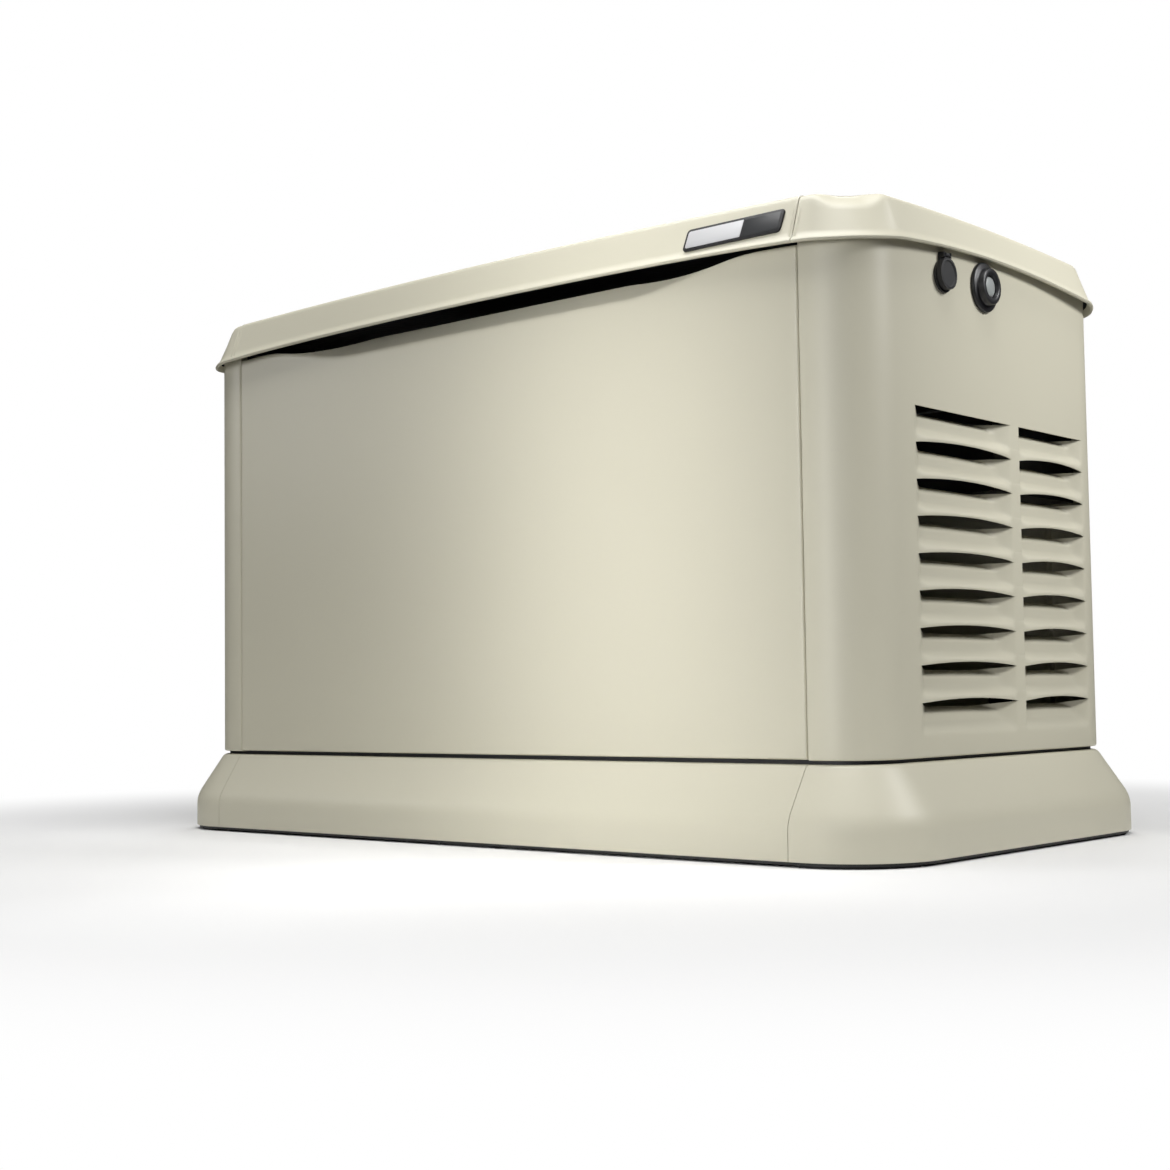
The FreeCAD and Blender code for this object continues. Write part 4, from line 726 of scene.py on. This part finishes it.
def badge():
    """Blank badge: a black plate with a silver inlay on the left and a dark one on the right."""
    outer = (BADGE_START, BADGE_END, BADGE_LOW, BADGE_HIGH)
    badge_plate("lid_badge_skin", "badge", outer, (5, 5, 5, 5),
                ((0, 0), (0, 1.8), (0.3, 2.3), (0.8, 2.5)), ("lid_badge",))
    low, high = BADGE_LOW + BADGE_RIM, BADGE_HIGH - BADGE_RIM
    face = ((0, 2.4), (0, 2.7), (0.3, 2.9))
    left = (BADGE_START + BADGE_RIM, BADGE_SPLIT - 1, low, high)
    right = (BADGE_SPLIT + 1, BADGE_END - BADGE_RIM, low, high)
    badge_plate("badge_inlay_left", "badge_silver", left, (3, 0.6, 0.6, 3), face)
    badge_plate("badge_inlay_right", "badge_grey", right, (0.6, 3, 3, 0.6), face)


LATHE_COUNT, LATHE_SHARP = 72, 40.0


def lathe(name, profile, centre, slot, body, replaces=(), side=1, rear=False):
    """Turns (radius, height) about an axis along X, out of an end panel, or along Y, out of the rear."""
    verts, faces, n = [], [], len(profile)
    cx, cy, cz = centre
    for i in range(LATHE_COUNT):
        a = 2 * math.pi * i / LATHE_COUNT
        for r, h in profile:
            if rear:
                verts.append((cx - r * math.cos(a), cy + h, cz + r * math.sin(a)))
            else:
                verts.append((side * (cx + h), cy + r * math.cos(a), cz + r * math.sin(a)))
    for i in range(LATHE_COUNT):
        j = (i + 1) % LATHE_COUNT
        for k in range(n - 1):
            f = (i * n + k, j * n + k, j * n + k + 1, i * n + k + 1)
            faces.append(f if side > 0 else f[::-1])
    piece(name, verts, faces, slot, body, replaces, sharp=LATHE_SHARP)


def conduit_plug():
    """Blank cap that closes the conduit opening in the rear panel."""
    plug = [(0, -5), (17.2, -5), (17.2, 0.2), (21.5, 0.2), (21.5, 2.2)]
    plug += [(20.7, 3.0), (17, 3.2), (15.5, 2.4), (0, 2.4)]
    at = (CONDUIT[0], BODY_HY, CONDUIT[1])
    lathe("conduit_plug", plug, at, "black_plastic", "enclosure", rear=True)


LIGHT_Y, LIGHT_Z = -26.0, 693.0


def status_light():
    """Round light on the right end: a stepped bezel and a domed lens."""
    at = (BODY_HX, LIGHT_Y, LIGHT_Z)
    bezel = [(12.6, -15), (14, -15), (14, -0.2), (30.5, -0.2), (31, 0.4), (31, 3.2), (30.2, 4.6)]
    bezel += [(28.6, 5.4), (24, 5.8), (23.2, 6.2), (22.8, 7), (22.6, 12), (22, 13.4), (20.6, 14)]
    bezel += [(17, 14), (15.6, 13.4), (14.6, 11.8), (14, 8.5), (13.4, 8.2), (12.6, 8.2), (12.6, -15)]
    lathe("status_light_bezel_skin", bezel, at, "black_plastic", "enclosure", ("status_light_bezel",))
    lens = [(0, -12), (12.4, -12), (12.4, 8.8), (11.6, 10.4), (9, 11.4), (5, 12.0), (0, 12.2)]
    lathe("status_light_lens_skin", lens, at, "lens", "enclosure", ("status_light_lens",))


def lock_caps():
    """Moulded disc with a raised rim over each lock's weather cap."""
    at = (BODY_HX + 3.2, LOCK_Y, LOCK_Z)
    cap = [(0, 0), (18.4, 0), (19, 0.6), (19.2, 3.6), (18.6, 5.6), (17.4, 6.6), (16, 6.8)]
    cap += [(15.2, 6.0), (14.6, 5.5), (5, 5.6), (0, 5.6)]
    for side, word in ((1, "right"), (-1, "left")):
        lathe("lock_cap_disc_" + word, cap, at, "black_rubber", "cap_" + word, side=side)


# ------------------------------------------------------------------ CAD nodes
def finish_nodes():
    """Every CAD node keeps its shape and gets the finish that the record names for it."""
    slots = {s["node"]: s["material_slot"] for s in frame["record"]["subparts"]}
    for name, obj in frame["nodes"].items():
        obj.data.materials.clear()
        obj.data.materials.append(M[slots[name]])
        finish_mesh(obj, SHARP)


# ------------------------------------------------------------------ studio
# name: (place, target, (width, height), spread in degrees, energy)
LAMPS = {
    "overhead": ((0.2, -0.5, 2.6), (0.2, 0.0, 0.4), (2.4, 1.4), 180, 63.0),
    "front_right": ((1.0, -2.2, 0.9), (0.5, -0.3, 0.45), (1.0, 1.0), 180, 7.3),
    "beside_camera": ((2.0, -2.3, 0.9), (0.5, -0.2, 0.4), (0.5, 0.8), 180, 2.0),
    "door_wide": ((0.32, -1.35, 0.55), (0.27, -0.31, 0.45), (0.4, 0.9), 55, 0.82),
    "door_tight": ((0.30, -1.3, 0.5), (0.22, -0.31, 0.40), (0.3, 0.9), 40, 0.29),
    "right_end": ((1.9, 0.5, 1.5), (0.6, 0.1, 0.6), (0.5, 0.5), 60, 3.4),
    "front_left": ((-1.5, -1.3, 1.0), (-0.55, -0.31, 0.5), (0.4, 0.6), 60, 0.6),
    "back": ((-1.6, 2.6, 2.4), (0.0, 0.0, 0.4), (2.0, 1.6), 180, 30.0),
}
WORLD_STRENGTH = 0.04
FADE_START, FADE_END = 0.8, 1.7     # metres from the centre over which the floor fades to white
FLOOR_HALF, FLOOR_Z = 20, -0.0002   # half width of the floor, and its height, just under the feet


def fading_floor():
    """Pale floor that turns into the white surroundings, for the camera only, away from the object."""
    m = material("floor", (0.9, 0.9, 0.9), 0.8, mottle=0.005, grain=(40, 0.0))
    nt = m.node_tree
    coord = nt.nodes.new("ShaderNodeTexCoord")
    length = nt.nodes.new("ShaderNodeVectorMath")
    length.operation = "LENGTH"
    fade = nt.nodes.new("ShaderNodeMapRange")
    fade.interpolation_type = "SMOOTHSTEP"
    fade.inputs["From Min"].default_value = FADE_START
    fade.inputs["From Max"].default_value = FADE_END
    path = nt.nodes.new("ShaderNodeLightPath")
    glow = nt.nodes.new("ShaderNodeEmission")
    mix = nt.nodes.new("ShaderNodeMixShader")
    nt.links.new(coord.outputs["Object"], length.inputs[0])
    nt.links.new(length.outputs["Value"], fade.inputs["Value"])
    nt.links.new(path.outputs["Is Camera Ray"], glow.inputs["Strength"])
    nt.links.new(fade.outputs["Result"], mix.inputs[0])
    nt.links.new(nt.nodes["Principled BSDF"].outputs[0], mix.inputs[1])
    nt.links.new(glow.outputs[0], mix.inputs[2])
    nt.links.new(mix.outputs[0], nt.nodes["Material Output"].inputs["Surface"])
    return m


def floor_plane():
    """The floor itself, which is part of the studio and not of the object."""
    turns = ((-1, -1), (1, -1), (1, 1), (-1, 1))
    verts = [(FLOOR_HALF * i, FLOOR_HALF * j, FLOOR_Z) for i, j in turns]
    mesh = bpy.data.meshes.new("floor")
    mesh.from_pydata(verts, [], [(0, 1, 2, 3)])
    floor = bpy.data.objects.new("floor", mesh)
    bpy.context.scene.collection.objects.link(floor)
    mesh.materials.append(fading_floor())


def surroundings():
    """Faint even light from all round, which the camera sees as white."""
    world = bpy.data.worlds.new("studio")
    bpy.context.scene.world = world
    world.use_nodes = True
    nt = world.node_tree
    soft = nt.nodes["Background"]
    soft.inputs["Color"].default_value = (1, 1, 1, 1)
    soft.inputs["Strength"].default_value = WORLD_STRENGTH
    seen = nt.nodes.new("ShaderNodeBackground")
    path = nt.nodes.new("ShaderNodeLightPath")
    mix = nt.nodes.new("ShaderNodeMixShader")
    nt.links.new(path.outputs["Is Camera Ray"], mix.inputs[0])
    nt.links.new(soft.outputs[0], mix.inputs[1])
    nt.links.new(seen.outputs[0], mix.inputs[2])
    nt.links.new(mix.outputs[0], nt.nodes["World Output"].inputs["Surface"])
    seen.inputs["Color"].default_value = (1, 1, 1, 1)


def lamps():
    """Soft boxes and narrower lamps that light the object without being seen."""
    for name, (place, target, size, spread, energy) in LAMPS.items():
        data = bpy.data.lights.new(name, "AREA")
        data.shape, data.size, data.size_y = "RECTANGLE", size[0], size[1]
        data.spread, data.energy = math.radians(spread), energy
        light = bpy.data.objects.new(name, data)
        bpy.context.scene.collection.objects.link(light)
        light.location = place
        aim = Vector(target) - Vector(place)
        light.rotation_euler = aim.to_track_quat("-Z", "Y").to_euler()
        light.visible_camera = False


# the camera looks up a little and to the left, from low down in front of the right corner
LENS, SENSOR = 55.07, 36.0
AZIMUTH, ELEVATION, ROLL = math.radians(41.042), math.radians(3.4616), math.radians(-0.7996)
CAMERA_AT = (1.66488, -2.01215, 0.19716)


def camera():
    """Camera at the viewing angle of the reference view."""
    level = math.cos(ELEVATION)
    forward = Vector((-math.sin(AZIMUTH) * level, math.cos(AZIMUTH) * level, math.sin(ELEVATION)))
    right = Vector((math.cos(AZIMUTH), math.sin(AZIMUTH), 0))
    down = forward.cross(right)
    across_x = right * math.cos(ROLL) - down * math.sin(ROLL)
    across_y = right * math.sin(ROLL) + down * math.cos(ROLL)
    data = bpy.data.cameras.new("camera")
    data.lens, data.sensor_width = LENS, SENSOR
    cam = bpy.data.objects.new("camera", data)
    bpy.context.scene.collection.objects.link(cam)
    turn = Matrix((across_x, -across_y, -forward)).transposed().to_4x4()
    cam.matrix_world = Matrix.Translation(CAMERA_AT) @ turn
    bpy.context.scene.camera = cam


finish_nodes()
side_panel(1)
side_panel(-1)
rear_panel()
front_panel()
base_wraps()
lid_panel()
lid_ends()
badge()
status_light()
lock_caps()
conduit_plug()
floor_plane()
surroundings()
lamps()
camera()
bpy.context.scene.view_settings.view_transform = "Standard"
